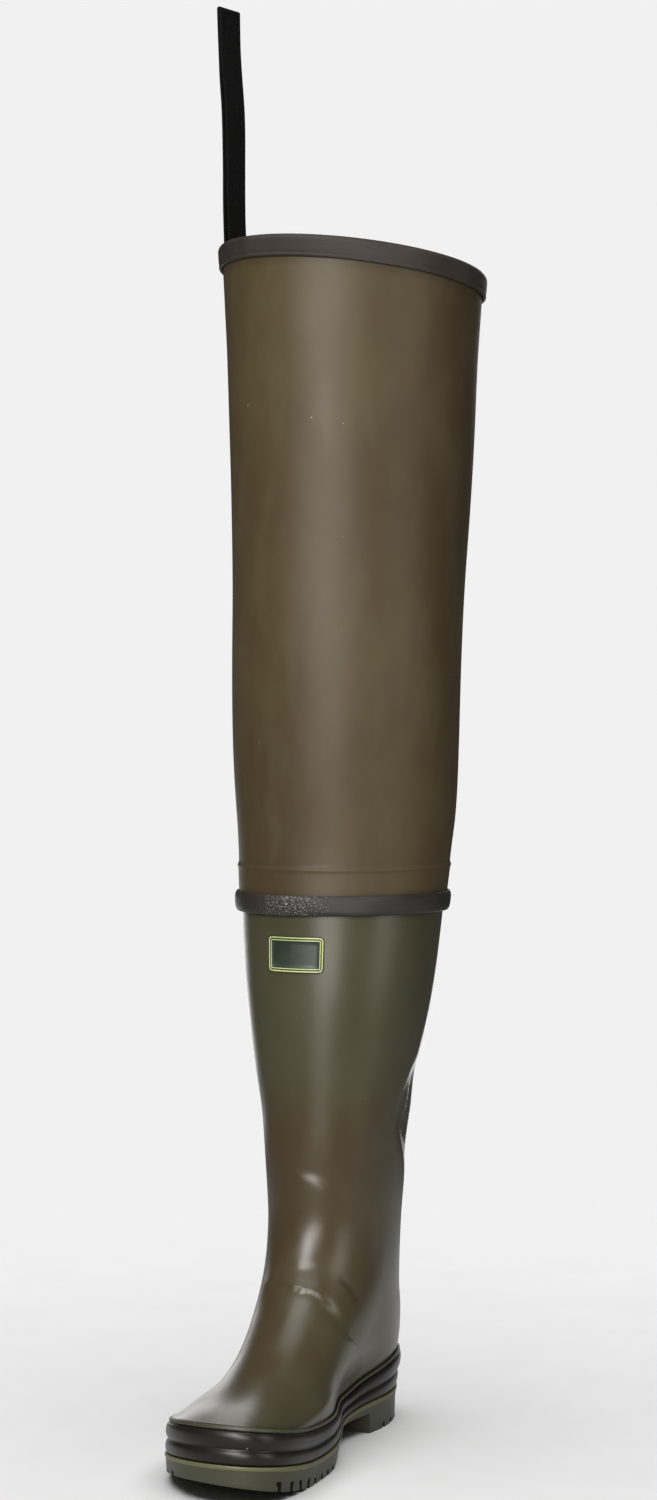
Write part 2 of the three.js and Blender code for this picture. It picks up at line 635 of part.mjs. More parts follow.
const STRAP_ANGLE = 90 + STRAP_TURN;
const PATCH_SEAT = SKIN_STEP + GAP + FACET;
const WRAP = BAR_RADIUS + GAP + STRAP_THICK / 2; // middle of a bar to the middle of the strap round it
const BAR_OUT = PATCH_SEAT + PATCH_THICK + GAP + FACET + WRAP + STRAP_THICK / 2; // boot's surface to the bars
const BAR_SPAN = RING_OPENING / 2 + BAR_RADIUS; // middle of the ring to the middle of each bar
const ringPlace = legPlace(STRAP_ANGLE, RIM_HEIGHT - RING_DROP, BAR_OUT);
const RING_MIDDLE = ringPlace.at.z;

function beltLoop() {
  const low = RING_MIDDLE + BAR_SPAN;
  const fold = (STRAP_THICK + GAP) / 2;
  const high = STRAP_TOP - fold - STRAP_THICK / 2;
  const open = (STRAP_THICK + STRAP_SPREAD) / 2;
  const atRim = SKIN_STEP + BINDING_THICK + GAP + STRAP_THICK / 2 + open;
  const rim = legPlace(STRAP_ANGLE, RIM_HEIGHT, atRim);
  const rimZ = rim.at.z;
  const reach = rim.at.clone().sub(ringPlace.at).dot(ringPlace.out);
  const heights = [low, rimZ, lerp(rimZ, high, 0.6), high - STITCHED, high];
  const leans = [-reach / STRAP_LEAN, 0, 0.4, 0.85, 1].map((share) => reach + share * STRAP_LEAN);
  return doubledStrap(low, high, 18, (z) => {
    const away = through(heights, leans, z);
    const turn = THREE.MathUtils.degToRad(-STRAP_TWIST) * soft((z - rimZ) / (high - rimZ));
    const axis = new THREE.Vector3(0, 0, 1);
    return {
      at: ringPlace.at.clone().addScaledVector(ringPlace.out, away).setZ(z),
      across: ringPlace.across.clone().applyAxisAngle(axis, turn),
      out: ringPlace.out.clone().applyAxisAngle(axis, turn),
      half: through(heights, [WRAP, open, 0.75 * open, fold, fold], z),
    };
  });
}

function strapTab() {
  const high = RING_MIDDLE - BAR_SPAN;
  const low = high - TAB_LENGTH;
  const flat = (STRAP_THICK + GAP) / 2;
  return doubledStrap(low, high, 6, (z) => {
    const share = soft((high - z) / (0.6 * TAB_LENGTH));
    const seat = PATCH_SEAT + PATCH_THICK + GAP + STRAP_THICK;
    const drift = legPlace(STRAP_ANGLE, z, seat + GAP / 2).at.sub(ringPlace.at).dot(ringPlace.out);
    return {
      at: ringPlace.at.clone().addScaledVector(ringPlace.out, share * drift).setZ(z),
      across: ringPlace.across,
      out: ringPlace.out,
      half: lerp(WRAP, flat, share),
    };
  });
}

// The plastic ring: a round bar bent into a rectangle with rounded corners.
function strapRing() {
  const halfWide = STRAP_WIDTH / 2 + GAP + 0.7 + BAR_RADIUS;
  const corner = BAR_RADIUS;
  const rings = [];
  for (const [sx, sz, from] of [[1, 1, 0], [-1, 1, 1], [-1, -1, 2], [1, -1, 3]])
    for (let k = 0; k <= 3; k += 1) {
      const angle = (Math.PI / 2) * (from + k / 3);
      const along = sx * (halfWide - corner) + corner * Math.cos(angle);
      const up = sz * (BAR_SPAN - corner) + corner * Math.sin(angle);
      const middle = ringPlace.at.clone().addScaledVector(ringPlace.across, along);
      middle.z += up;
      const radial = ringPlace.across.clone().multiplyScalar(Math.cos(angle)).setZ(Math.sin(angle));
      const section = [];
      for (let j = 0; j < 8; j += 1) {
        const turn = (Math.PI * j) / 4;
        section.push(
          middle.clone().addScaledVector(radial, 0.98 * BAR_RADIUS * Math.cos(turn))
            .addScaledVector(ringPlace.out, -BAR_RADIUS * Math.sin(turn)),
        );
      }
      rings.push(section);
    }
  return loopSkin(rings);
}

function strapPatch() {
  const high = RIM_HEIGHT - RING_DROP + PATCH_ABOVE;
  return legPlate(STRAP_ANGLE, PATCH_WIDTH, high - PATCH_HEIGHT, high, PATCH_SEAT, PATCH_SEAT + PATCH_THICK);
}

function label() {
  const middle = KNEE_HEIGHT - LABEL_DROP;
  return legPlate(LABEL_TURN, LABEL_WIDTH, middle - LABEL_HEIGHT / 2, middle + LABEL_HEIGHT / 2,
    GAP + FACET, GAP + FACET + LABEL_THICK);
}

const material = (color, roughness, metalness = 0) =>
  new THREE.MeshStandardMaterial({ color, roughness, metalness });
const OLIVE = 0x5a5138;
const OLIVE_SOLE = 0x45462f;
const DARK = 0x35302c;
const BLACK = 0x141414;

const group = new THREE.Group();
function add(name, geometry, surface) {
  const mesh = new THREE.Mesh(geometry, surface);
  mesh.name = name;
  group.add(mesh);
}

add("outsole", outsole(), material(OLIVE_SOLE, 0.6));
add("boot_upper", bootUpper(), material(OLIVE, 0.42));
add("thigh_shaft", thighShaft(), material(OLIVE, 0.42));
add("foxing_band", foxingBand(), material(DARK, 0.45));
add("toe_rand", toeRand(), material(OLIVE_SOLE, 0.5));
add("insole", insole(), material(DARK, 0.9));
add("knee_band", kneeBand(), material(DARK, 0.5));
add("rim_binding", rimBinding(), material(DARK, 0.55));
add("label", label(), material(0x2c4a31, 0.4));
add("strap_patch", strapPatch(), material(OLIVE, 0.5));
add("strap_tab", strapTab(), material(BLACK, 0.9));
add("strap_ring", strapRing(), material(BLACK, 0.4));
add("belt_loop", beltLoop(), material(BLACK, 0.9));

export default group;
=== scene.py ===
from math import copysign, cos, degrees, hypot, pi, radians, sin, tau

import bmesh
import bpy
import numpy as np
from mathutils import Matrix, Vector
from numpy.linalg import norm


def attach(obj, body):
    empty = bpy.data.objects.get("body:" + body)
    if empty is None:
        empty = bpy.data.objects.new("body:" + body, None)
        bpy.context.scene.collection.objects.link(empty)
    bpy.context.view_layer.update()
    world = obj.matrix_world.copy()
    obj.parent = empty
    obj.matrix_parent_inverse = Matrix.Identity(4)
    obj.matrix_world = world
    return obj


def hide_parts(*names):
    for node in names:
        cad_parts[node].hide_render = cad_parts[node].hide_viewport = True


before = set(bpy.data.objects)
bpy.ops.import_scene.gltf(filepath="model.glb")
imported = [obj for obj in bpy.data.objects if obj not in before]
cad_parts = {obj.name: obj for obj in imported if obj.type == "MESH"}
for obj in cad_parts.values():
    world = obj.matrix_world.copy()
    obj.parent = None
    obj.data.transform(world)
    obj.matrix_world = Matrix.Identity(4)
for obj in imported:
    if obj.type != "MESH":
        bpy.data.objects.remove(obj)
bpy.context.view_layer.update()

# A hip wader for the right foot. Shapes are worked out in millimetres: +Z is up, the toe
# points along -Y and the inner side of the leg is +X. Meshes are in metres.
MM = 0.001
UP = np.array([0, 0, 1.0])

# Sizes of the solids that the surfaces below follow, in millimetres and degrees
FOOT_LENGTH = 289
HEEL_REACH = 38
BALL_REACH = 168
BALL_INNER = 48
BALL_OUTER = 48
BALL_SKEW = 15
TOE_SWING = 14
HEEL_ROUND = 2.7
WAIST_REACH = 76
WAIST_SPAN = 48
WAIST_INNER = 0.39
WAIST_OUTER = 0.12
LEG_INNER = 3
ANKLE = {"z": 152, "width": 88, "depth": 122, "middle": -26}
KNEE = {"z": 370, "width": 141, "depth": 151, "middle": -12}
RIM = {"z": 818, "width": 180, "depth": 191, "middle": 7}
RIM_FRONT_RISE = 8
RIM_OUTER_RISE = 7
BOOT_WALL = 2.2
THIGH_WALL = 1.4
GAP = 0.3
FACET = 0.15
OVERLAP = 25
SOLE_BALL = 15
HEEL_LIFT = 22.5
TOE_LIFT = 26
TOE_SPRING = 13
ARCH_HEIGHT = 13.5
HEEL_LENGTH = 81
FOREFOOT_START = 136
FLAT_END = 178
TOE_BEND = 195
SOLE_STEP = 3.7
SOLE_SIDE = 3.1
LIP_DEPTH = 2.4
TREAD_DRAFT = 0.6
HEEL_DRAFT = 1
ARCH_RAMP = 34
TOE_CURVE = 1.4
SPRING_SKEW = 0.25
SIDE_DRAFT = 1.2
BAND_HEIGHTS = [22, 18, 12.7, 17, 23, 24.5]     # toe, ball, waist, breast, heel and back
BAND_THICK = 3.1
RAND_HEIGHT = 2.8
RAND_THICK = 1.7
GROOVE_WIDTH = 3
GROOVE_DEPTH = 4
FOREFOOT_PITCH = 12
HEEL_PITCH = 15
LUG_ROW = 13
KNEE_BAND_HEIGHT = 13.8
KNEE_BAND_PROUD = 3
THIGH_LAP = 2
BINDING_OUTSIDE = 13.3
BINDING_INSIDE = 9.5
BINDING_THICK = 2.9
BINDING_LINING = 2
BINDING_CROWN = 2.2
STRAP_TURN = 9
STRAP_WIDTH = 25
STRAP_THICK = 1.6
STRAP_TOP = 1011
STRAP_LEAN = 6
STRAP_TWIST = 5
STRAP_SPREAD = 2.2
STITCHED = 30
RING_DROP = 56
BAR_RADIUS = 1.8
RING_OPENING = 7
TAB_LENGTH = 30
PATCH_WIDTH = 46
PATCH_HEIGHT = 60
PATCH_ABOVE = 11
PATCH_THICK = 1.2
LABEL_TURN = 4.5
LABEL_WIDTH = 44.5
LABEL_HEIGHT = 25
LABEL_DROP = 33.5

# Rows of the foot from the top of the rand to the ankle, and of the leg, as shares of the
# sizes above
FOOT_SECTIONS = {
    "rise": [0, 0.06, 0.13, 0.22, 0.32, 0.44, 0.58, 0.76, 1],
    "front": [0.985, 0.87, 0.7, 0.535, 0.39, 0.265, 0.15, 0.055, 0],
    "back": [1, 1.03, 1.06, 1.06, 1.03, 0.95, 0.7, 0.3, 0],
    "wide": [1, 0.76, 0.49, 0.33, 0.235, 0.165, 0.1, 0.035, 0],
    "ball": [1, 0.9, 0.75, 0.6, 0.45, 0.3, 0.15, 0.05, 0],
    "squeeze": [1, 0.985, 0.945, 0.935, 0.935, 0.935, 0.94, 0.965, 1],
    "toe_round": [2.25, 2.15, 2, 2, 2, 2, 2, 2, 2],
    "heel_round": [3.5, 3.4, 3.3, 3.1, 2.9, 2.6, 2.45, 2.2, 2.05],
    "waist": [1, 0.9, 0.65, 0.4, 0.25, 0.1, 0, 0, 0],
    "swing": [1, 0.9, 0.75, 0.55, 0.35, 0.2, 0.1, 0, 0],
}
SHIN_SECTIONS = {
    "up": [0, 0.215, 0.474, 0.707, 0.93, 1],
    "width": [0, 0.16, 0.455, 0.78, 0.96, 1],
    "depth": [0, 0.12, 0.35, 0.7, 0.94, 1],
    "middle": [0, 0.125, 0.22, 0.56, 0.92, 1],
}
THIGH_SECTIONS = {
    "up": [0, 0.063, 0.126, 0.254, 0.381, 0.506, 0.633, 0.761, 0.888, 1],
    "width": [0, 0.12, 0.22, 0.352, 0.43, 0.497, 0.61, 0.74, 0.845, 1],
    "depth": [0, 0.11, 0.26, 0.384, 0.53, 0.606, 0.704, 0.8, 0.9, 1],
    "middle": [0, 0.18, 0.33, 0.38, 0.47, 0.63, 0.8, 0.895, 0.947, 1],
}

TOE_REACH = FOOT_LENGTH - HEEL_REACH
BREAST = HEEL_REACH - HEEL_LENGTH
BOOT_TOP = KNEE["z"] + OVERLAP
SEAM = BOOT_TOP - 0.5   # where the boot's top edge shows through the thigh shaft
KNEE_BAND_LOW = KNEE["z"] - KNEE_BAND_HEIGHT / 2
KNEE_BAND_HIGH = KNEE["z"] + KNEE_BAND_HEIGHT / 2
SKIN_STEP = GAP + THIGH_WALL
STRAP_ANGLE = 90 + STRAP_TURN
PATCH_SEAT = SKIN_STEP + GAP + FACET
WRAP = BAR_RADIUS + GAP + STRAP_THICK / 2
BAR_OUT = PATCH_SEAT + PATCH_THICK + GAP + FACET + WRAP + STRAP_THICK / 2
BAR_SPAN = RING_OPENING / 2 + BAR_RADIUS
FOLD_HALF = (STRAP_THICK + GAP) / 2     # half the distance of the webbing's layers where they touch
FOLD_TOP = STRAP_TOP - FOLD_HALF - STRAP_THICK / 2
BAND_UNIT = 20      # band height for which the profiles round the foot are drawn
TILT_START = 0.45   # share of the thigh's height above which the rim's slope begins
FOLD_REACH = 5      # how far a fold's ledge reaches, in widths of its step

# Mesh fineness
COLUMNS = 192
FOOT_STEP = 16      # rings for each row of FOOT_SECTIONS
LEG_STEP = 2.5      # millimetres between rings of the shin
THIGH_STEP = 4      # the same for the thigh
INSIDE_STEP = 4     # the lining takes every fourth ring
WALL_RINGS = 8      # rings of the foot's side wall below the rows of FOOT_SECTIONS
WALL_SHARE = 0.9    # share of the side wall's height at the last of them
SAMPLES = 1201      # places sampled on half a ring before its points are spaced evenly
CROWDING = 0.98     # how strongly the samples crowd at its front, side and back
SMOOTHINGS = 24     # times that the rings of foot and shin are evened out
CORNER_STEPS = 4    # points less one on a rounded corner
BEND_STEPS = 12     # steps round a fold of the webbing
PLATE_COLUMNS = 96  # points round the label and the strap's patch
LOOP_STEPS = 130    # sections of the belt loop from its lower end to its top
TAB_STEPS = 24
STRAP_COLUMNS = 15  # points across one face of the webbing
RING_STEPS = 8      # sections in each corner of the plastic ring
RING_SIDES = 16
THREAD_SIDES = 6


def lerp(a, b, t):
    return a + (b - a) * t


def soft(t):
    t = np.clip(t, 0, 1)
    return t * t * (3 - 2 * t)


def through(xs, ys, x):
    """A smooth curve through the values ys at the rising places xs."""
    xs, ys, x = (np.asarray(v, float) for v in (xs, ys, x))
    last = len(xs) - 1
    k = np.arange(last + 1)
    high, low = np.minimum(last, k + 1), np.maximum(0, k - 1)
    slope = (ys[high] - ys[low]) / (xs[high] - xs[low])
    i = np.clip(np.searchsorted(xs, x, side="left") - 1, 0, last - 1)
    span = xs[i + 1] - xs[i]
    t = np.clip((x - xs[i]) / span, 0, 1)
    return (
        (2 * t**3 - 3 * t**2 + 1) * ys[i]
        + (t**3 - 2 * t**2 + t) * slope[i] * span
        + (3 * t**2 - 2 * t**3) * ys[i + 1]
        + (t**3 - t**2) * slope[i + 1] * span
    )


def bed(y):
    """Height of the outsole's top."""
    ys = [-TOE_REACH - SOLE_STEP, -TOE_BEND, -BALL_REACH, -FOREFOOT_START,
          -WAIST_REACH, BREAST, 0, HEEL_REACH + SOLE_STEP]
    rise = HEEL_LIFT - SOLE_BALL
    zs = [TOE_LIFT, SOLE_BALL + 0.15 * (TOE_LIFT - SOLE_BALL), SOLE_BALL, SOLE_BALL + 0.08 * rise,
          SOLE_BALL + 0.5 * rise, SOLE_BALL + 0.9 * rise, HEEL_LIFT, HEEL_LIFT]
    return through(ys, zs, y)


def band_height(y):
    return through([-TOE_REACH, -BALL_REACH, -WAIST_REACH, BREAST, 0, HEEL_REACH], BAND_HEIGHTS, y)


def side_top(y):
    return bed(y) + band_height(y) + GAP + RAND_HEIGHT


def tread(y, x=0):
    """Height of the outsole's underside, without the heel block."""
    forward = -y - SPRING_SKEW * x
    arch = ARCH_HEIGHT * soft((FOREFOOT_START - forward) / ARCH_RAMP)
    past = np.maximum(0, forward - FLAT_END) / (TOE_REACH - FLAT_END)
    return arch + TOE_SPRING * past**TOE_CURVE


def ring_points(row, angle):
    """Points of an egg of two superellipse halves. Angle 0 is the front, and a quarter turn
    is the inner side."""
    ahead, side = np.cos(angle), np.sin(angle)
    front, inner = ahead > 0, side > 0
    power = 2 / np.where(front, row["toe_round"], row["heel_round"])
    wide = row["wide"] - np.where(inner, row["skew"], 0)
    y = wide + (np.where(front, row["front"], row["back"]) - wide) * np.abs(ahead) ** power
    pinch = row["waist"] * np.where(inner, WAIST_INNER, WAIST_OUTER)
    narrow = 1 - pinch * np.exp(-(((y + WAIST_REACH) / WAIST_SPAN) ** 2))
    half = np.where(inner, row["inner"], row["outer"]) * narrow
    swing = row["shift"] + np.where(front, row["swing"] * np.abs(ahead) ** (2 * power), 0)
    return np.stack([np.sign(side) * half * np.abs(side) ** power + swing, y], -1)


def even_ring(row):
    """Evenly spaced points round a ring, from the front to the inner side and on."""
    half = COLUMNS // 2
    t = np.linspace(0, 1, SAMPLES)
    angle = pi * (t - np.sin(4 * pi * t) / (4 * pi) * CROWDING)
    sides = []
    for turn in (1, -1):
        points = ring_points(row, turn * angle)
        steps = norm(np.diff(points, axis=0), axis=1)
        lengths = np.concatenate([[0], np.cumsum(steps)])
        wanted = np.linspace(0, lengths[-1], half + 1)
        sides.append(np.stack([np.interp(wanted, lengths, points[:, k]) for k in (0, 1)], -1))
    return np.concatenate([sides[0][:half], sides[1][:0:-1]])


def grown(ring, distance):
    """A flat ring moved outwards by a distance."""
    along = np.roll(ring, -1, axis=0) - np.roll(ring, 1, axis=0)
    along /= norm(along, axis=1)[:, None]
    return ring + np.stack([along[:, 1], -along[:, 0]], -1) * distance


def lifted(ring, height):
    return np.column_stack([ring, np.broadcast_to(height, len(ring))])


def foot_row(place):
    row = {name: float(through(range(len(values)), values, place)) for name, values in FOOT_SECTIONS.items()}
    front = ANKLE["middle"] - ANKLE["depth"] / 2
    back = ANKLE["middle"] + ANKLE["depth"] / 2
    share = row["wide"]
    row.update(
        front=lerp(front, -TOE_REACH, row["front"]),
        back=lerp(back, HEEL_REACH, row["back"]),
        wide=lerp(ANKLE["middle"], -BALL_REACH, share),
        inner=lerp(ANKLE["width"] / 2, BALL_INNER, row["ball"]) * row["squeeze"],
        outer=lerp(ANKLE["width"] / 2, BALL_OUTER, row["ball"]) * row["squeeze"],
        swing=TOE_SWING * row["swing"],
        skew=BALL_SKEW * share,
        shift=LEG_INNER * (1 - share),
    )
    return row


def foot_ring(place):
    row = foot_row(place)
    ring = even_ring(row)
    return lifted(ring, lerp(side_top(ring[:, 1]), ANKLE["z"], row["rise"]))


WALL_TOP = even_ring(foot_row(0))
WALL_FOOT = grown(even_ring({**foot_row(0), "heel_round": HEEL_ROUND}), SIDE_DRAFT)


def side_ring(distance, height):
    """A ring of the upper's side wall at the heights height(y), moved outwards."""
    y = WALL_FOOT[:, 1]
    low = bed(y) + GAP
    share = np.clip((height(y) - low) / (side_top(y) - low), 0, 1)[:, None]
    ring = lerp(WALL_FOOT, WALL_TOP, share)
    return lifted(grown(ring, distance), height(ring[:, 1]))


def leg_row(z):
    low = z <= KNEE["z"]
    bottom, top = (ANKLE, KNEE) if low else (KNEE, RIM)
    table = SHIN_SECTIONS if low else THIGH_SECTIONS
    share = (z - bottom["z"]) / (top["z"] - bottom["z"])
    row = {k: lerp(bottom[k], top[k], float(through(table["up"], table[k], share)))
           for k in ("width", "depth", "middle")}
    row["tilt"] = 0.0 if low else float(soft((share - TILT_START) / (1 - TILT_START)))
    return row


def leg_ring(z, distance=0.0):
    """The boot's outer surface at a height of the leg, moved outwards."""
    row = leg_row(z)
    middle, depth, width = row["middle"], row["depth"], row["width"]
    ring = even_ring({
        "front": middle - depth / 2, "back": middle + depth / 2, "wide": middle,
        "inner": width / 2, "outer": width / 2, "toe_round": 2, "heel_round": 2.05,
        "waist": 0, "swing": 0, "skew": 0, "shift": LEG_INNER,
    })
    ring = grown(ring, distance)
    rise = (-RIM_FRONT_RISE * (ring[:, 1] - middle) / (depth / 2)
            - RIM_OUTER_RISE * (ring[:, 0] - LEG_INNER) / (width / 2))
    return lifted(ring, z + row["tilt"] * rise)


def leg_place(angle, z, distance):
    """A point of the leg, the direction round it and the direction out of it. The angle is
    in degrees from the front towards the outer side."""
    ring = leg_ring(z, distance)
    column = (1 - angle / 360) * COLUMNS
    i = int(column // 1)
    a, b = ring[i % COLUMNS], ring[(i + 1) % COLUMNS]
    across = (b - a) * [1, 1, 0]
    across /= norm(across)
    return lerp(a, b, column - i), across, np.array([across[1], -across[0], 0])


# Mesh building

def placed(name, data):
    thing = bpy.data.objects.new(name, data)
    bpy.context.scene.collection.objects.link(thing)
    return thing


def new_object(name, points, faces, materials, smooth=True):
    """A mesh object from points in millimetres."""
    mesh = bpy.data.meshes.new(name)
    mesh.from_pydata((np.asarray(points) * MM).tolist(), [], [list(map(int, f)) for f in faces])
    mesh.update()
    piece = placed(name, mesh)
    for finish in materials:
        mesh.materials.append(finish)
    if smooth:
        mesh.shade_smooth()
    else:
        mesh.shade_flat()
    return piece


def points_of(piece):
    """The points of a piece in millimetres."""
    return np.array([v.co for v in piece.data.vertices]) / MM


def face_outwards(piece):
    """Turns all faces of a closed piece to its outside."""
    bm = bmesh.new()
    bm.from_mesh(piece.data)
    bmesh.ops.recalc_face_normals(bm, faces=bm.faces)
    bm.to_mesh(piece.data)
    bm.free()


def finished(piece, slot, *nodes):
    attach(piece, "root")
    if nodes:
        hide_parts(*nodes)


def loop_faces(rows, columns):
    """Quads of a tube whose last ring joins its first."""
    r, i = np.divmod(np.arange(rows * columns), columns)
    j, n = (i + 1) % columns, (r + 1) % rows
    return np.stack([r * columns + i, r * columns + j, n * columns + j, n * columns + i], -1)


def tube_faces(rows, columns):
    """The same for an open tube."""
    return [tuple(face) for face in loop_faces(rows, columns)[:(rows - 1) * columns]]


def ring_uv(piece, grid):
    """UV of a ring piece: u once round, v the length along the section in metres."""
    rows, columns = grid.shape[:2]
    steps = norm(np.roll(grid, -1, axis=0) - grid, axis=2).mean(axis=1) * MM
    along = np.concatenate([[0], np.cumsum(steps)])
    r, i = np.divmod(np.arange(rows * columns), columns)
    u = np.stack([i, i + 1, i + 1, i], -1) / columns
    v = np.stack([along[r], along[r], along[r + 1], along[r + 1]], -1)
    layer = piece.data.uv_layers.new(name="UVMap")
    layer.data.foreach_set("uv", np.stack([u, v], -1).astype(np.float32).ravel())


def paint(piece, name, values):
    """A number for each point, which the materials read."""
    layer = piece.data.attributes.new(name, "FLOAT", "POINT")
    layer.data.foreach_set("value", np.asarray(values, np.float32).ravel())


def blank(piece, *names):
    """Zero at every point, for attributes that the piece's materials read."""
    for name in names:
        paint(piece, name, np.zeros(len(piece.data.vertices)))


def ring_piece(name, grid, materials):
    """A closed piece from rings of points, whose last ring joins the first."""
    grid = np.asarray(grid)
    rows, columns = grid.shape[:2]
    piece = new_object(name, grid.reshape(-1, 3), loop_faces(rows, columns), materials)
    ring_uv(piece, grid)
    return piece


def normals(grid):
    """Outward directions of a grid of rings that run upwards."""
    along = np.roll(grid, -1, axis=1) - np.roll(grid, 1, axis=1)
    upward = np.gradient(grid, axis=0)
    out = np.cross(along, upward)
    return out / norm(out, axis=2)[..., None]


def shell(name, outer, wall, materials, painted_shade):
    """A hollow wall with its outer surface and a lining, open at both ends."""
    inner = outer - normals(outer) * wall
    inner[0, :, 2] = outer[0, :, 2]
    kept = sorted(set(range(0, len(outer), INSIDE_STEP)) | {len(outer) - 1}, reverse=True)
    grid = np.concatenate([outer, inner[kept]])
    piece = ring_piece(name, grid, materials)
    index = np.zeros((len(grid), COLUMNS), int)
    index[len(outer):-1] = 1
    piece.data.polygons.foreach_set("material_index", index.ravel())
    paint(piece, "painted_shade", np.concatenate([painted_shade, np.zeros((len(kept), COLUMNS))]))
    return piece


def rounded(profile, radius):
    """A closed profile with its corners rounded."""
    points = [np.array(p, float) for p in profile]
    result = []
    for k, corner in enumerate(points):
        ends = []
        for other in (points[k - 1], points[(k + 1) % len(points)]):
            reach = other - corner
            length = norm(reach)
            ends.append(corner + reach * min(radius / length, 0.45))
        for t in np.linspace(0, 1, CORNER_STEPS + 1):
            result.append((1 - t) ** 2 * ends[0] + 2 * t * (1 - t) * corner + t**2 * ends[1])
    return result


# Creases, folds and dents, as distances that the surface moves outwards

def beside(points, path):
    """Distance of each point from a path, positive above it, and the share along the path."""
    path = np.array(path, float)
    best = np.full(points.shape[:-1], 1e9)
    signed = np.zeros_like(best)
    share = np.zeros_like(best)
    lengths = norm(np.diff(path, axis=0), axis=1)
    starts = np.concatenate([[0], np.cumsum(lengths)])
    for k, length in enumerate(lengths):
        along = (path[k + 1] - path[k]) / length
        up = UP - along[2] * along
        up /= norm(up)
        t = np.clip((points - path[k]) @ along, 0, length)
        away = points - (path[k] + t[..., None] * along)
        distance = norm(away, axis=-1)
        near = distance < best
        best = np.where(near, distance, best)
        signed = np.where(near, distance * np.sign(away @ up), signed)
        share = np.where(near, (starts[k] + t) / starts[-1], share)
    return signed, share


def faded(share, start=0.3, end=0.3):
    """1 along the middle of a path and 0 at its ends. start and end are shares of it."""
    return soft(share / start) * soft((1 - share) / end)


def fold(points, path, width, height, start=0.3, end=0.3):
    """A soft ledge: the surface stands proud below the path, sinks in above it and comes
    back over a longer way. With a negative height it is the other way round."""
    t, share = beside(points, path)
    t = t / width
    return -np.tanh(t) * np.exp(-0.5 * (t / FOLD_REACH) ** 2) * height * faded(share, start, end)


def trough(points, path, width, depth):
    t, share = beside(points, path)
    return -depth * np.exp(-0.5 * (t / width) ** 2) * faded(share)


def dent(points, centre, wide, tall, depth, edge):
    """A hollow. The higher edge is, the flatter its floor and the clearer its edge."""
    away = points - np.array(centre, float)
    flat = np.hypot(away[..., 0], away[..., 1])
    return -depth * np.exp(-0.5 * ((flat / wide) ** 2 + (away[..., 2] / tall) ** 2) ** edge)


INSTEP_FOLD = [(-28, -88, 106), (-18, -97, 110), (-7.6, -102.5, 112.4), (-0.5, -105.4, 111.4),
               (5.3, -107, 110), (11, -106.5, 109.6), (17, -105, 108.3), (21.7, -104.2, 105.7),
               (26, -102.7, 103), (30.4, -100.4, 99.4), (35.6, -95.3, 94), (39, -88, 88)]
INSTEP_WRINKLE = [(-12, -90, 126), (-4, -94, 126), (3, -96.3, 125), (12.6, -94.4, 125.2), (22, -91, 124)]
SHIN_FOLD = [(-6, -87, 185), (0, -87.2, 185), (4.4, -86.8, 184.5), (9.4, -86.2, 183.3), (13.4, -85.1, 181.3),
             (16.6, -84, 179.2), (20.3, -82.2, 177.1), (25, -79.3, 174.1), (34, -70, 168)]
INNER_CREASE = [(29, -90, 121), (32.8, -84.2, 114.3), (37, -80, 106), (39.8, -77.8, 99.8), (41, -74, 93)]
COUNTER_EDGE = [(24, -108, 102), (30, -106, 94), (36.1, -102.1, 84.5), (38, -90, 75), (37.3, -77.3, 65.9)]
# Hollows: centre, width, height, depth and edge. The one with a negative depth is a swelling.
BENT_DENTS = [((54, -9, 228), 19, 25, 2.9, 2.4), ((53, 4, 204), 17, 15, 1.7, 1.3),
              ((57, -2, 252), 12, 17, 1.4, 1)]
ROUND_DENTS = [((-40, -62, 226), 13, 16, 1.4, 1), ((20, -84, 205), 22, 20, -0.8, 1),
               ((44, -60, 128), 26, 24, 1.5, 1)]
# Waves of the thigh: height, count round the leg, length along it and start
WAVES = [(1, 2, 95, 0.4), (0.7, 3, -61, 1.3), (0.5, 5, 43, 2.2), (0.35, 2, 29, 0)]


def upper_relief(p):
    """Folds and dents of foot and shin. Those on the inner side of the shin are bent out of round."""
    bent = p + np.stack([0 * p[..., 0], 5 * np.sin(p[..., 2] / 15), 4 * np.sin(p[..., 1] / 11 + 1)], -1)
    relief = (
        fold(p, INSTEP_FOLD, 2.6, -1.15, 0.2, 0.35)
        + fold(p, INSTEP_WRINKLE, 2.2, -0.45)
        + fold(p, SHIN_FOLD, 2.4, 0.8, 0.2, 0.55)
        + trough(p, INNER_CREASE, 1.8, 0.35)
        + fold(p, COUNTER_EDGE, 2.5, 0.5)
    )
    for points, dents in ((bent, BENT_DENTS), (p, ROUND_DENTS)):
        for row in dents:
            relief = relief + dent(points, *row)
    return relief


def wobble(p, low, high, size):
    """Slow unevenness of a thin rubber tube, none near its ends."""
    angle = np.arctan2(p[..., 0] - LEG_INNER, -p[..., 1])
    z = p[..., 2]
    waves = sum(tall * np.sin(count * angle + z / length + start) for tall, count, length, start in WAVES)
    return size * waves * soft((z - low) / 30) * soft((high - z) / 40)


def relaxed(grid, weights):
    """Evens out the rows of a grid, each as far as its weight says."""
    for _ in range(SMOOTHINGS):
        middle = (grid[:-2] + grid[2:]) / 2 - grid[1:-1]
        grid[1:-1] += 0.5 * middle * weights[1:-1, None, None]
    return grid


# Materials

def srgb(*values):
    """A colour given in the 0 to 255 numbers of a picture, as linear numbers."""
    linear = [((v / 255 + 0.055) / 1.055) ** 2.4 if v > 10 else v / 255 / 12.92 for v in values]
    return (*linear, 1.0)


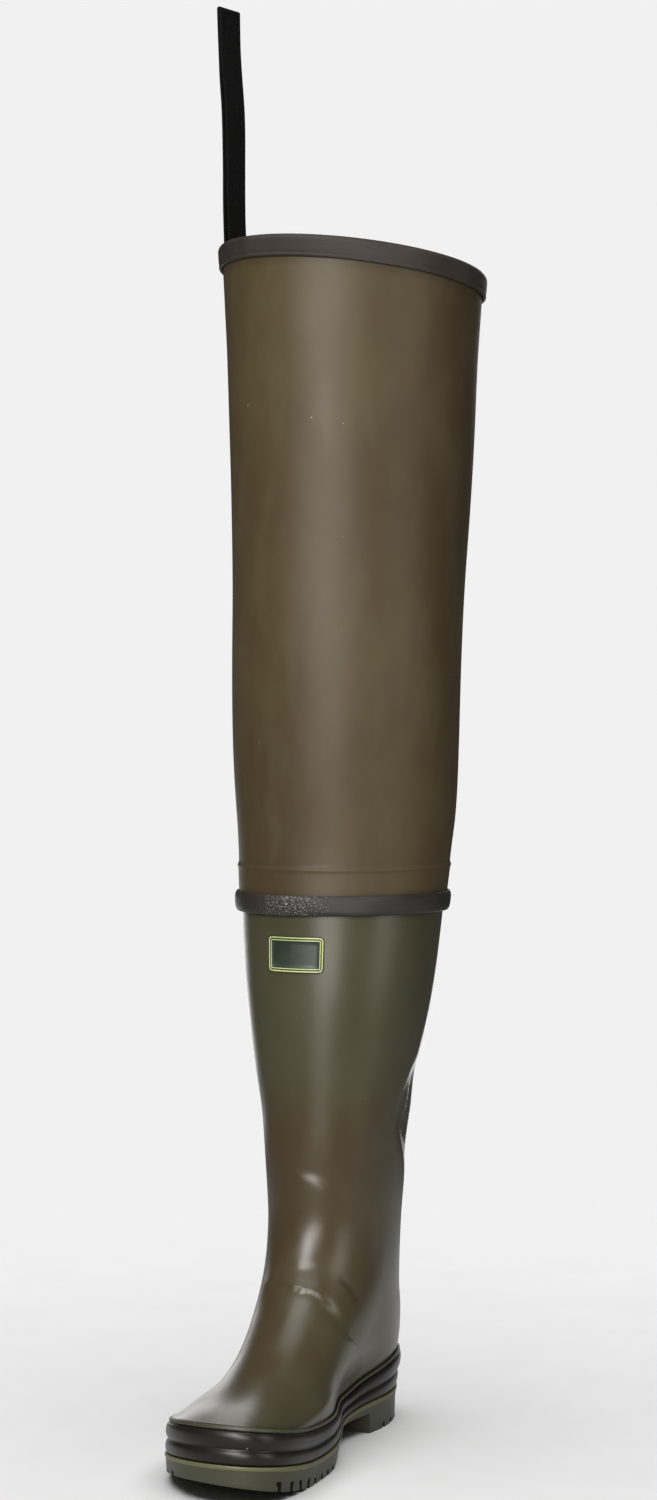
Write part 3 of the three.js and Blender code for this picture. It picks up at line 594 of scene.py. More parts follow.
def add(tree, kind, inputs=None, **settings):
    """A new shader node. Its inputs are values, or sockets that are linked to it."""
    node = tree.nodes.new("ShaderNode" + kind)
    for key, value in settings.items():
        setattr(node, key, value)
    for key, value in (inputs or {}).items():
        if isinstance(value, bpy.types.NodeSocket):
            tree.links.new(value, node.inputs[key])
        else:
            node.inputs[key].default_value = value
    return node


# Each of these adds a node to the tree of the socket that it is given and returns its output

def calc(operation, a, b=0.0, clamp=False):
    return add(a.id_data, "Math", {0: a, 1: b}, operation=operation, use_clamp=clamp).outputs[0]


def times(a, b, clamp=False):
    return calc("MULTIPLY", a, b, clamp)


def ripple(value, rate):
    """A row of round ridges, one for each half turn of value times rate."""
    return calc("ABSOLUTE", calc("SINE", times(value, rate)))


def noise(vector, scale, detail=2.0, roughness=0.5):
    inputs = {"Vector": vector, "Scale": scale, "Detail": detail, "Roughness": roughness}
    return add(vector.id_data, "TexNoise", inputs).outputs[0]


def spread(value, low, high, to_low=0.0, to_high=1.0):
    """value from low..high mapped to to_low..to_high, and kept there."""
    inputs = {"Value": value, "From Min": low, "From Max": high, "To Min": to_low, "To Max": to_high}
    return add(value.id_data, "MapRange", inputs).outputs[0]


def blend(factor, a, b):
    """A mix of two colours, each a socket or the 0 to 255 numbers of a picture."""
    a, b = (srgb(*v) if isinstance(v, tuple) else v for v in (a, b))
    return add(factor.id_data, "Mix", {0: factor, 6: a, 7: b}, data_type="RGBA").outputs[2]


def bump(height, distance, strength=1.0, below=None):
    inputs = {"Height": height, "Distance": distance, "Strength": strength}
    if below is not None:
        inputs["Normal"] = below
    return add(height.id_data, "Bump", inputs).outputs[0]


def painted(tree, name):
    return add(tree, "Attribute", attribute_name=name).outputs["Fac"]


def uv_of(tree):
    return add(tree, "SeparateXYZ", {0: add(tree, "TexCoord").outputs["UV"]}).outputs


def material(name, **sockets):
    """A new material, its node tree and the place on the object."""
    made = bpy.data.materials.new(name)
    made.use_nodes = True
    tree = made.node_tree
    for key, value in sockets.items():
        key = key.replace("_", " ").title().replace("Ior", "IOR")
        tree.nodes["Principled BSDF"].inputs[key].default_value = value
    return made, tree, add(tree, "TexCoord").outputs["Object"]


def wired(made, **sockets):
    tree = made.node_tree
    for key, value in sockets.items():
        tree.links.new(value, tree.nodes["Principled BSDF"].inputs[key.replace("_", " ").title()])
    return made


def rubber(name, color, shade, roughness, sheen, light=None, green=None, peel=0.00002):
    """Satin rubber: soft mottling, a fine peel and a few pale specks, and painted shade along edges
    and in creases. It turns from shade to color with height between the two heights of green."""
    made, tree, place = material(name, specular_ior_level=sheen)
    broad = spread(noise(place, 6.5, 3), 0.36, 0.66)
    if green:
        height = add(tree, "SeparateXYZ", {0: place}).outputs[2]
        higher = spread(height, *green, -0.25, 0.45)
        broad = calc("ADD", broad, higher, True)
    streaky = add(tree, "Mapping", {"Vector": place, "Scale": (1, 1, 0.45)}).outputs[0]
    cloudy = noise(streaky, 34, 4, 0.6)
    base = blend(broad, shade, color)
    base = blend(spread(cloudy, 0.45, 0.72, 0, 0.4), base, light or color)
    # painted shade: darker along the edges of bands and parts and in a crease
    base = blend(times(painted(tree, "painted_shade"), 0.8, True), base, (22, 18, 13))
    specks = add(tree, "TexVoronoi", {"Vector": place, "Scale": 95.0, "Randomness": 1.0})
    drawn = add(tree, "SeparateColor", {0: specks.outputs["Color"]}).outputs[0]
    rare = calc("GREATER_THAN", drawn, 0.93)
    dot = spread(specks.outputs["Distance"], 0.035, 0.075, 0.5, 0)
    base = blend(times(dot, rare), base, (150, 143, 122))
    # paler along the outsole's lip
    base = blend(times(painted(tree, "paler"), 0.5, True), base, (92, 90, 58))
    gloss = spread(cloudy, 0.3, 0.7, roughness - 0.04, roughness + 0.05)
    fine = bump(noise(place, 1300, 2), peel)
    soft_bump = bump(noise(place, 120, 2), 0.00007, 0.6, fine)
    return wired(made, base_color=base, roughness=gloss, normal=soft_bump)


def knurled(name, color, shade, roughness, round_count, pitch, depth, dusty=0.0):
    """Rubberised tape with fine slanting ridges that close round the leg."""
    made, tree, place = material(name, specular_ior_level=0.3)
    uv = uv_of(tree)
    turn = times(uv[0], round_count * tau)
    rise = times(uv[1], tau / pitch)
    ridge = calc("SINE", calc("SUBTRACT", turn, rise))
    cross = calc("SINE", calc("ADD", turn, rise))
    weave = calc("ADD", times(ridge, 0.35), times(cross, 0.12))
    weave = calc("ADD", weave, 0.5)
    cloudy = noise(place, 30, 4, 0.6)
    base = blend(spread(cloudy, 0.35, 0.7), shade, color)
    # painted shade: darker in the valleys between the ridges
    base = blend(spread(weave, 0.2, 0.6, 0.35, 0), base, (24, 20, 18))
    if dusty:
        dust = spread(noise(place, 1000, 3, 0.7), 0.55, 0.66)
        dust = times(times(painted(tree, "dust"), dusty), dust, True)
        base = blend(dust, base, (170, 168, 164))
    gloss = spread(cloudy, 0.3, 0.7, roughness - 0.05, roughness + 0.05)
    return wired(made, base_color=base, roughness=gloss, normal=bump(weave, depth))


def lining(name, color, shade):
    """Knitted lining inside the rubber."""
    made, tree, place = material(name, sheen_weight=0.2)
    uv = uv_of(tree)
    wale = ripple(uv[0], 420 * pi)
    course = ripple(uv[1], pi / 0.0013)
    knit = times(wale, course)
    base = blend(spread(noise(place, 22, 4), 0.35, 0.65), shade, color)
    # painted shade: darker between the loops of the knit
    base = blend(spread(knit, 0, 0.5, 0.4, 0), base, shade)
    gloss = spread(knit, 0, 1, 0.95, 0.8)
    return wired(made, base_color=base, roughness=gloss, normal=bump(knit, 0.0003))


def felt(name, color, shade):
    made, tree, place = material(name, specular_ior_level=0.2)
    fibres = noise(place, 1400, 4, 0.75)
    base = blend(spread(noise(place, 45, 4), 0.35, 0.65), shade, color)
    base = blend(spread(fibres, 0.45, 0.7, 0, 0.5), base, color)
    gloss = spread(fibres, 0.3, 0.7, 0.85, 0.97)
    return wired(made, base_color=base, roughness=gloss, normal=bump(fibres, 0.0002))


def woven(name, color, shade):
    """Black webbing: a plain weave of flat yarns, with brighter worn yarns."""
    made, tree, place = material(name, specular_ior_level=0.12)
    along, across = painted(tree, "along"), painted(tree, "across")
    course = calc("DIVIDE", along, 1.1)
    shift = times(calc("FLOOR", course), 0.5)
    yarn = calc("ADD", calc("DIVIDE", across, 1.5), shift)
    over = ripple(yarn, pi)
    rib = ripple(course, pi)
    weave = times(over, rib)
    fuzz = noise(place, 2600, 3, 0.7)
    paler = spread(noise(place, 260, 3), 0.58, 0.72, 0, 0.5)
    # painted shade: darker between the yarns
    base = blend(spread(weave, 0.1, 0.9), shade, color)
    base = blend(paler, base, (17, 17, 18))
    gloss = spread(fuzz, 0.3, 0.7, 0.75, 0.92)
    first = bump(weave, 0.0004)
    return wired(made, base_color=base, roughness=gloss, normal=bump(fuzz, 0.00008, 0.6, first))


def plastic(name, color, shade, roughness):
    made, tree, place = material(name)
    cloudy = noise(place, 60, 3)
    base = blend(spread(cloudy, 0.35, 0.65), shade, color)
    gloss = spread(cloudy, 0.3, 0.7, roughness - 0.04, roughness + 0.06)
    grain = bump(noise(place, 1800, 2), 0.00003)
    return wired(made, base_color=base, roughness=gloss, normal=grain)


UPPER = rubber("upper_rubber", (54, 52, 37), (52, 43, 27), 0.34, 0.35,
               light=(58, 55, 39), green=(0.17, 0.27))
SHAFT = rubber("shaft_rubber", (61, 52, 32), (53, 43, 26), 0.52, 0.25, light=(69, 63, 42))
SOLE = rubber("sole_rubber", (46, 48, 33), (38, 39, 27), 0.48, 0.35, peel=0.00004)
# painted shade for the inside of the tread's grooves
GROOVE_SHADE = rubber("sole_groove_painted_shade", (20, 20, 14), (14, 14, 10), 0.7, 0.1)
DARK = rubber("dark_rubber", (20, 17, 16), (15, 13, 12), 0.36, 0.25)
KNEE_TAPE = knurled("knee_tape", (38, 34, 33), (29, 25, 25), 0.48, 330, 0.0014, 0.00022, 0.55)
RIM_TAPE = knurled("rim_tape", (48, 42, 37), (36, 30, 27), 0.5, 420, 0.0014, 0.00035)
LINING = lining("lining", (112, 108, 96), (84, 80, 70))
WEBBING = woven("webbing", (6, 6, 6), (3, 3, 3))
RING = plastic("ring_plastic", (22, 22, 23), (14, 14, 15), 0.35)
LABEL_FIELD = plastic("label_field", (26, 36, 23), (19, 28, 17), 0.5)
LABEL_EDGE = plastic("label_edge", (168, 178, 116), (150, 160, 100), 0.42)
FELT = felt("insole_felt", (70, 70, 66), (50, 50, 47))


# Rubber pieces

def close_to(value, target, width):
    """1 where the value is at the target, fading to both sides."""
    return np.exp(-np.abs(value - target) / width)


def boot_upper():
    rows = [side_ring(0, lambda y, t=t: lerp(bed(y) + GAP, side_top(y), t))
            for t in np.linspace(0, WALL_SHARE, WALL_RINGS)]
    rows += [foot_ring(place) for place in np.arange(0, len(FOOT_SECTIONS["rise"]) - 1, 1 / FOOT_STEP)]
    rows += [leg_ring(z) for z in np.arange(ANKLE["z"], BOOT_TOP, LEG_STEP)]
    rows.append(leg_ring(BOOT_TOP))
    grid = np.array(rows)
    index = np.arange(len(grid))
    # No smoothing and no relief next to the rand and at the top
    weights = soft((index - WALL_RINGS - 3) / 14) * soft((index[-1] - index) / 10)
    grid = relaxed(grid, weights)
    relief = upper_relief(grid) * weights[:, None]
    outer = grid + normals(grid) * relief[..., None]
    height = grid[..., 2]
    # painted shade: a dark line along the top of the rand, in the inner crease and under the knee band
    painted_shade = 0.9 * close_to(height, side_top(grid[..., 1]), 1.2) * (index[:, None] < WALL_RINGS + 30)
    painted_shade += 0.5 * np.clip(-trough(grid, INNER_CREASE, 1.6, 1), 0, 1)
    painted_shade += 0.35 * close_to(height, KNEE_BAND_LOW, 1.5)
    piece = shell("upper", outer, BOOT_WALL, [UPPER, LINING], painted_shade)
    finished(piece, "upper_rubber", "boot_upper")


def thigh_shaft():
    heights = np.concatenate([np.arange(KNEE_BAND_LOW + THIGH_LAP, SEAM - 8, THIGH_STEP),
                              np.arange(SEAM - 8, SEAM + 8, 0.8),
                              np.arange(SEAM + 8, RIM["z"], THIGH_STEP), [RIM["z"]]])
    grid = np.array([leg_ring(z, SKIN_STEP) for z in heights])
    z = heights[:, None]
    seam = 0.45 * np.exp(-(((z - SEAM) / 1.3) ** 2))
    seam = seam - 0.7 * soft((z - SEAM) / 3.5) * (1 - soft((z - SEAM - 8) / 60))
    relief = seam + wobble(grid, SEAM + 15, RIM["z"] - 20, 0.55)
    outer = grid + normals(grid) * relief[..., None]
    # painted shade: dark lines above the knee band, under the rim binding and just above the seam's ridge
    painted_shade = (0.4 * close_to(z, KNEE_BAND_HIGH, 1.5) + 0.7 * close_to(z, RIM["z"] - BINDING_OUTSIDE, 2)
             + 0.2 * close_to(z, SEAM + 3, 1.2))
    piece = shell("shaft", outer, THIGH_WALL, [SHAFT, LINING], np.broadcast_to(painted_shade, grid.shape[:2]))
    finished(piece, "shaft_rubber", "thigh_shaft")


def leg_band(name, profile, radius, materials, sag=0.0):
    """A band round the leg, from a profile of distances and heights."""
    grid = []
    for distance, z in rounded(profile, radius):
        ring = leg_ring(z, distance)
        angle = np.arctan2(ring[:, 0] - LEG_INNER, -ring[:, 1])
        ring[:, 2] += sag * (np.sin(2 * angle + 0.6) + 0.5 * np.sin(3 * angle - 1))
        grid.append(ring)
    return ring_piece(name, grid, materials)


# Dusty places of the knee band and their sizes
DUST = [((-19, -88.7, 371), 9), ((7, -92, 371), 13), ((-4, -92, 371), 8)]


def knee_band():
    low, high = KNEE_BAND_LOW, KNEE_BAND_HIGH
    proud = SKIN_STEP + KNEE_BAND_PROUD
    seat = SKIN_STEP + GAP
    lap = low + THIGH_LAP - GAP
    profile = [(GAP, low), (proud - 1.2, low), (proud, lerp(low, high, 0.2)),
               (proud + 0.25, lerp(low, high, 0.5)), (proud, lerp(low, high, 0.8)),
               (proud - 1.2, high), (seat, high), (seat, lap), (GAP, lap)]
    piece = leg_band("knee_band", profile, 1.2, [KNEE_TAPE], sag=0.3)
    points = points_of(piece)
    paint(piece, "dust", sum(np.exp(-(norm(points - at, axis=1) / size) ** 2) for at, size in DUST))
    finished(piece, "dark_rubber", "knee_band")


def rim_binding():
    seat = SKIN_STEP + GAP + FACET
    proud = SKIN_STEP + BINDING_THICK
    z, inside = RIM["z"], -GAP
    deep, top = -GAP - BINDING_LINING, z + BINDING_CROWN
    low = z - BINDING_OUTSIDE
    profile = [(seat, low), (proud - 0.5, low), (proud, low + 1.4), (proud - 0.5, low + 2.4),
               (proud - 0.1, low + 4), (proud, z - 4), (proud, z - 0.5), (SKIN_STEP + 1.2, top),
               (-0.8, top), (deep, z - 1), (deep, z - BINDING_INSIDE), (inside, z - BINDING_INSIDE),
               (inside, z + GAP), (seat, z + GAP)]
    piece = leg_band("rim_binding", profile, 1.5, [RIM_TAPE])
    finished(piece, "binding_tape", "rim_binding")


def side_piece(name, profile, radius, materials):
    """A strip round the foot's side. The profile holds distances and heights above the
    outsole's top, drawn for a band height of BAND_UNIT."""

    def level(y, h):
        if h > BAND_UNIT:
            return bed(y) + GAP + h + (band_height(y) - BAND_UNIT)
        return bed(y) + GAP + h * (band_height(y) / BAND_UNIT)

    grid = [side_ring(distance, lambda y, h=h: level(y, h)) for distance, h in rounded(profile, radius)]
    return ring_piece(name, grid, materials)


def rib(low, high, crest, bulge, steps=9):
    """A rounded rib between two heights."""
    t = np.linspace(-1, 1, steps)
    return [(crest - bulge * abs(v) ** 2.6, lerp(low, high, (v + 1) / 2)) for v in t]


def foxing_band():
    crest = GAP + BAND_THICK + 0.25
    # A lower and an upper rib with a groove between them
    profile = ([(GAP, 0)] + rib(0.15, 8.7, crest - 0.1, 1.3) + [(crest - 1.7, 9.3)]
               + rib(9.9, 19.6, crest + 0.1, 1.4, 11) + [(GAP, BAND_UNIT)])
    piece = side_piece("foxing_band", profile, 0.35, [DARK])
    blank(piece, "painted_shade")
    finished(piece, "dark_rubber", "foxing_band")


def toe_rand():
    inner = GAP + FACET
    low, high = BAND_UNIT + 2 * GAP, BAND_UNIT + GAP + RAND_HEIGHT - 0.4
    profile = [(inner, low), (inner + RAND_THICK, low), (inner + 0.75 * RAND_THICK, high), (inner, high)]
    piece = side_piece("toe_rand", profile, 0.6, [SOLE])
    blank(piece, "painted_shade")
    finished(piece, "sole_rubber", "toe_rand")


def stack(name, rows):
    """A closed stack of rings, with strips across its first and last ring."""
    count = len(rows[0])
    faces = tube_faces(len(rows), count)
    for start, up in ((0, False), ((len(rows) - 1) * count, True)):
        for i in range(count // 2):
            strip = [start + i, start + i + 1, start + (count - i - 1) % count, start + (count - i) % count]
            strip = list(dict.fromkeys(strip))
            if len(strip) > 2:
                faces.append(strip if up else strip[::-1])
    return new_object(name, np.concatenate(rows), faces, [SOLE], smooth=False)


def box_object(name, low, high):
    x, y, z = zip(low, high)
    points = [(x[i], y[j], z[k]) for k in (0, 1) for j in (0, 1) for i in (0, 1)]
    faces = [(0, 2, 3, 1), (4, 5, 7, 6), (0, 1, 5, 4), (2, 6, 7, 3), (0, 4, 6, 2), (1, 3, 7, 5)]
    return new_object(name, points, faces, [SOLE], smooth=False)


def modified(piece):
    """Makes the piece's modifiers part of its mesh."""
    bpy.context.view_layer.update()
    shape = piece.evaluated_get(bpy.context.evaluated_depsgraph_get())
    mesh = bpy.data.meshes.new_from_object(shape)
    piece.modifiers.clear()
    piece.data = mesh


def cut(piece, tool, operation="DIFFERENCE"):
    step = piece.modifiers.new("cut", "BOOLEAN")
    step.operation, step.object, step.solver = operation, tool, "EXACT"
    modified(piece)
    bpy.data.objects.remove(tool)


def lip(y):
    """Height of the lower edge of the outsole's lip."""
    return bed(y) - LIP_DEPTH


def outsole():
    foot = tread(WALL_FOOT[:, 1], WALL_FOOT[:, 0])
    # From the tread up the side, out to the lip and over it
    rows = [side_ring(SOLE_SIDE - TREAD_DRAFT - 0.5, lambda y: foot)]
    rows += [side_ring(SOLE_SIDE - TREAD_DRAFT * (1 - t), lambda y, t=t: lerp(foot + 0.5, lip(y) - 0.9, t))
             for t in np.linspace(0, 1, 5)]
    rows += [side_ring(SOLE_SIDE + 0.05, lambda y: lip(y) - 0.5), side_ring(SOLE_STEP - 0.3, lip),
             side_ring(SOLE_STEP, lambda y: lip(y) + 0.4), side_ring(SOLE_STEP, lambda y: bed(y) - 0.5),
             side_ring(SOLE_STEP - 0.4, bed)]
    sole = stack("outsole", rows)
    heel = stack("heel", [side_ring(SOLE_SIDE - HEEL_DRAFT, lambda y: 0 * y),
                          side_ring(SOLE_SIDE - 0.6 * HEEL_DRAFT, lambda y: 0 * y + ARCH_HEIGHT + 1)])
    far = 4 * FOOT_LENGTH
    cut(heel, box_object("ahead", (-far, -far, -far), (far, BREAST, far)))
    cut(sole, heel, "UNION")

    grooves = []

    def groove(width, start, end, x, ground):
        low = (x - width / 2, start, ground - far)
        grooves.append((low, (x + width / 2, end, ground + GROOVE_DEPTH)))
        cut(sole, box_object("groove", *grooves[-1]))

    half = GROOVE_WIDTH / 2
    for y in np.arange(-FOREFOOT_START - FOREFOOT_PITCH, -TOE_REACH + FOREFOOT_PITCH, -FOREFOOT_PITCH):
        groove(far, y - half, y + half, 0, float(tread(y)))
    for k in (-1.5, -0.5, 0.5, 1.5):
        groove(far, k * HEEL_PITCH - half, k * HEEL_PITCH + half, 0, 0)
    for x in (-LUG_ROW, LUG_ROW):
        groove(GROOVE_WIDTH, BREAST - GROOVE_WIDTH, HEEL_REACH + 2 * SOLE_STEP, x, 0)
        groove(GROOVE_WIDTH, -TOE_BEND - 1.5 * FOREFOOT_PITCH, ARCH_RAMP / 2 - FOREFOOT_START, x, 0)
    edge = sole.modifiers.new("edge", "BEVEL")
    edge.width, edge.segments, edge.angle_limit = 0.45 * MM, 2, radians(50)
    modified(sole)
    sole.data.shade_smooth()
    flat = sole.modifiers.new("weighted", "WEIGHTED_NORMAL")
    flat.keep_sharp = True
    modified(sole)
    # the faces inside the tread's grooves take the dark material: painted shade in the recesses
    sole.data.materials.append(GROOVE_SHADE)
    for face in sole.data.polygons:
        x, y, z = np.array(face.center) / MM
        for low, high in grooves:
            inside = all(a - 0.1 < v < b + 0.1 for a, v, b in zip(low, (x, y, z), high))
            if inside and z > high[2] - GROOVE_DEPTH + 0.3:
                face.material_index = 1
    blank(sole, "painted_shade")
    points = points_of(sole)
    # paler along the outsole's lip
    paint(sole, "paler", (points[:, 2] > lip(points[:, 1]) - 0.7) * 1.0)
    finished(sole, "sole_rubber", "outsole")


# Plates that lie on the leg

def plate(name, angle, width, low, high, seat, rings, corner, materials, zones):
    """A rounded plate on the leg. rings are pairs of inset and height above the seat, from
    the back of its edge to its middle; zones are the material numbers between them."""
    middle_z = (low + high) / 2
    centre = leg_place(angle, middle_z, 0)[0]
    hub = np.array([LEG_INNER, leg_row(middle_z)["middle"], 0])
    girth = norm((centre - hub)[:2])
    count = PLATE_COLUMNS
    points = []
    half_w, half_h = width / 2, (high - low) / 2
    turns = np.linspace(0, tau, count, endpoint=False)
    cache = {}

    def at(s, t, height):
        key = round(t, 2)
        if key not in cache:
            cache[key] = leg_ring(middle_z + t, 0)
        ring = grown(cache[key][:, :2], seat + height)
        column = ((1 - (angle + degrees(s / girth)) / 360) * COLUMNS) % COLUMNS
        i = int(column)
        flat = lerp(ring[i], ring[(i + 1) % COLUMNS], column - i)
        z = lerp(cache[key][i, 2], cache[key][(i + 1) % COLUMNS, 2], column - i)
        return [*flat, z]

    def outline(w, h, round_by, height):
        for turn in turns:
            c, s = cos(turn), sin(turn)
            reach = min(w / max(abs(c), 1e-6), h / max(abs(s), 1e-6))
            x, y = c * reach, s * reach
            over_x, over_y = abs(x) - (w - round_by), abs(y) - (h - round_by)
            if over_x > 0 and over_y > 0:
                long = hypot(over_x, over_y)
                x = copysign(w - round_by + over_x / long * round_by, x)
                y = copysign(h - round_by + over_y / long * round_by, y)
            points.append(at(-x, y, height))

    shares = (0.25, 0.5, 0.75)
    for share in shares:
        outline(half_w * share, half_h * share, corner * share, rings[0][1])
    for inset, height in rings:
        w, h = half_w - inset, half_h - inset
        round_by = max(corner - inset, 0.35 * min(w, h) if inset > corner else 0.2)
        outline(w, h, round_by, height)
    for share in shares[::-1]:
        outline(w * share, h * share, round_by * share, height)
    last = len(rings) + 2 * len(shares) - 1
    faces = tube_faces(last + 1, count) + [range(last * count, (last + 1) * count), range(count)[::-1]]
    index = [zones[max(0, min(r - len(shares), len(zones) - 1))] for r in range(last) for _ in range(count)]
    index += [zones[-1], 0]
    piece = new_object(name, points, faces, materials)
    piece.data.polygons.foreach_set("material_index", index)
    face_outwards(piece)
    blank(piece, "painted_shade")
    return piece


def label():
    middle = KNEE["z"] - LABEL_DROP
    low, high = middle - LABEL_HEIGHT / 2, middle + LABEL_HEIGHT / 2
    rings = [(0, 0), (0, 0.35), (0.3, 0.6), (0.7, 0.62), (0.8, 0.75), (1.35, 0.75), (1.45, 0.58),
             (2.5, 0.56), (2.6, 0.66), (2.95, 0.66), (3.05, 0.54), (6, 0.52)]
    zones = [0, 0, 0, 1, 1, 1, 0, 1, 1, 1, 0, 0]
    piece = plate("label", LABEL_TURN, LABEL_WIDTH, low, high, GAP + FACET, rings, 3.2,
                  [LABEL_FIELD, LABEL_EDGE], zones)
    finished(piece, "label_green", "label")


def strap_patch():
    high = RIM["z"] - RING_DROP + PATCH_ABOVE
    groove = PATCH_THICK - 0.25
    rings = [(0, 0), (0, PATCH_THICK * 0.5), (0.5, PATCH_THICK), (2.2, PATCH_THICK), (2.6, groove),
             (3.2, groove), (3.6, PATCH_THICK), (8, PATCH_THICK)]
    piece = plate("strap_patch", STRAP_ANGLE, PATCH_WIDTH, high - PATCH_HEIGHT, high, PATCH_SEAT, rings, 6,
                  [SHAFT], [0] * 8)
    finished(piece, "shaft_rubber", "strap_patch")


# Webbing

RING_AT, RING_ACROSS, RING_FACING = leg_place(STRAP_ANGLE, RIM["z"] - RING_DROP, BAR_OUT)
LOOP_LOW = RING_AT[2] + BAR_SPAN
TAB_HIGH = RING_AT[2] - BAR_SPAN
EDGE_SHARE = 0.42       # rounding of the webbing's edge, as a share of its thickness
YARN_PITCH = 6.2        # distance of the low ridges along the webbing
SEAM_INSET = 2.2        # webbing's edge to the stitching
STITCH_PITCH = 3.2
STITCH_START = 0.12     # where a stitch begins, as a share of the pitch
STITCH_SHARE = 0.7125   # how much of the pitch it takes
THREAD = 0.3            # half the thread's thickness
# Places along a stitch and how fat the thread is there, as shares
STITCH_ROWS = [(0, 0.15), (0.12, 0.75), (0.35, 1), (0.65, 1), (0.88, 0.75), (1, 0.15)]


def strap(name, stations):
    """A flat strap along a closed path: each station is its middle, the direction of its
    width, the direction of its thickness, its width and its length so far."""
    edge = EDGE_SHARE * STRAP_THICK
    grid, along, across = [], [], []
    for at, side, facing, width, so_far in stations:
        half = width / 2
        face = [(w, STRAP_THICK / 2 * (1 - 0.06 * cos(w * tau / YARN_PITCH)))
                for w in np.linspace(-half + edge, half - edge, STRAP_COLUMNS)]
        cap = [(half - edge + edge * sin(a), STRAP_THICK / 2 * cos(a) * 0.94)
               for a in np.linspace(0.4, pi - 0.4, 5)]
        section = face + cap + [(-w, -t) for w, t in face] + [(-w, -t) for w, t in cap]
        section = section[::-1]
        grid.append([at + side * w + facing * t for w, t in section])
        across.append([w for w, t in section])
        along.append([so_far] * len(section))
    piece = ring_piece(name, grid, [WEBBING])
    paint(piece, "along", along)
    paint(piece, "across", across)
    return piece


def doubled(name, low, high, steps, pose):
    """A strap folded at both ends, with slightly uneven edges. pose(z, layer) gives the
    middle between its layers, its directions and half the distance of the layers."""
    turned = []
    for layer, end, begun in ((1, high, 0), (-1, low, 1)):
        for k in range(steps + 1)[::layer]:
            z = lerp(low, high, k / steps)
            at, side, facing, half = pose(z, layer)
            turned.append((at + facing * half * layer, side, facing * layer))
        at, side, facing, half = pose(end, 1)
        for k in range(1, BEND_STEPS):
            a = pi * (begun + k / BEND_STEPS)
            radial = facing * cos(a) + UP * sin(a)
            turned.append((at + radial * half, side, radial))
    stations = []
    so_far = 0.0
    before = turned[0][0]
    for at, side, facing in turned:
        so_far += float(norm(at - before))
        before = at
        wave = 0.35 * sin(so_far / 17) + 0.25 * sin(so_far / 7.3 + 1)
        stations.append((at, side, facing, STRAP_WIDTH - 0.4 + wave * 0.6, so_far))
    return strap(name, stations)


def loop_pose(z, layer):
    """Where the belt loop is at a height: it runs from the ring out past the rim, then
    leans outwards, turns a little and sways. layer is 1 outside and -1 inside."""
    open_half = (STRAP_THICK + STRAP_SPREAD) / 2
    clear = SKIN_STEP + BINDING_THICK + GAP + STRAP_THICK / 2 + open_half
    rim = leg_place(STRAP_ANGLE, RIM["z"], clear)[0]
    reach = float((rim - RING_AT) @ RING_FACING)
    heights = [LOOP_LOW, rim[2], lerp(rim[2], FOLD_TOP, 0.6), FOLD_TOP - STITCHED, FOLD_TOP]
    leans = [0, reach, reach + 0.4 * STRAP_LEAN, reach + 0.85 * STRAP_LEAN, reach + STRAP_LEAN]
    turn = radians(-STRAP_TWIST) * float(soft((z - rim[2]) / (FOLD_TOP - rim[2])))
    c, s = cos(turn), sin(turn)
    spin = np.array([[c, -s, 0], [s, c, 0], [0, 0, 1]])
    at = RING_AT + RING_FACING * through(heights, leans, z)
    at[2] = z
    half = through(heights, [WRAP, open_half, 0.75 * open_half, FOLD_HALF, FOLD_HALF], z)
    free = float(soft((z - rim[2]) / 40) * soft((FOLD_TOP - STITCHED - z) / 40))
    sway = 0.5 * sin(z / 19) + layer * (0.5 * sin(z / 31 + 1) + 0.3)
    at = at + spin @ RING_ACROSS * sway * free
    return at, spin @ RING_ACROSS, spin @ RING_FACING, float(half)


def tab_pose(z, layer):
    """The same for the tab, which closes up below the ring and lies on its patch."""
    share = float(soft((TAB_HIGH - z) / (0.6 * TAB_LENGTH)))
    seat = PATCH_SEAT + PATCH_THICK + GAP + STRAP_THICK
    drift = float((leg_place(STRAP_ANGLE, z, seat + GAP / 2)[0] - RING_AT) @ RING_FACING)
    at = RING_AT + RING_FACING * share * drift
    at[2] = z
    return at, RING_ACROSS, RING_FACING, lerp(WRAP, FOLD_HALF, share)


def belt_loop():
    piece = doubled("belt_loop", LOOP_LOW, FOLD_TOP, LOOP_STEPS, loop_pose)
    finished(piece, "webbing", "belt_loop")


def strap_tab():
    piece = doubled("strap_tab", TAB_HIGH - TAB_LENGTH, TAB_HIGH, TAB_STEPS, tab_pose)
    finished(piece, "webbing", "strap_tab")


def stitches(name, pose, marks, layer):
    """Short threads on one face of a strap. marks are pairs of points (across, height)."""
    points, faces = [], []
    count = THREAD_SIDES
    for (w0, z0), (w1, z1) in marks:
        ends = []
        for w, z in ((w0, z0), (w1, z1)):
            at, side, facing, half = pose(z, layer)
            ends.append(at + side * w + facing * layer * (half + STRAP_THICK / 2 + 0.02))
        facing = pose((z0 + z1) / 2, layer)[2] * layer
        along = (ends[1] - ends[0]) / norm(ends[1] - ends[0])
        across = np.cross(facing, along)
        start = len(points)
        for t, fat in STITCH_ROWS:
            middle = lerp(ends[0], ends[1], t) + facing * (0.22 * fat - 0.12)
            for a in np.linspace(0, tau, count, endpoint=False):
                points.append(middle + (across * cos(a) + facing * sin(a)) * THREAD * fat)
        last = (len(STITCH_ROWS) - 1) * count
        caps = [range(count)[::-1], range(last, last + count)]
        faces += [[start + k for k in face] for face in tube_faces(len(STITCH_ROWS), count) + caps]
    piece = new_object(name, points, faces, [WEBBING])
    blank(piece, "along", "across")
    face_outwards(piece)
    finished(piece, "webbing")


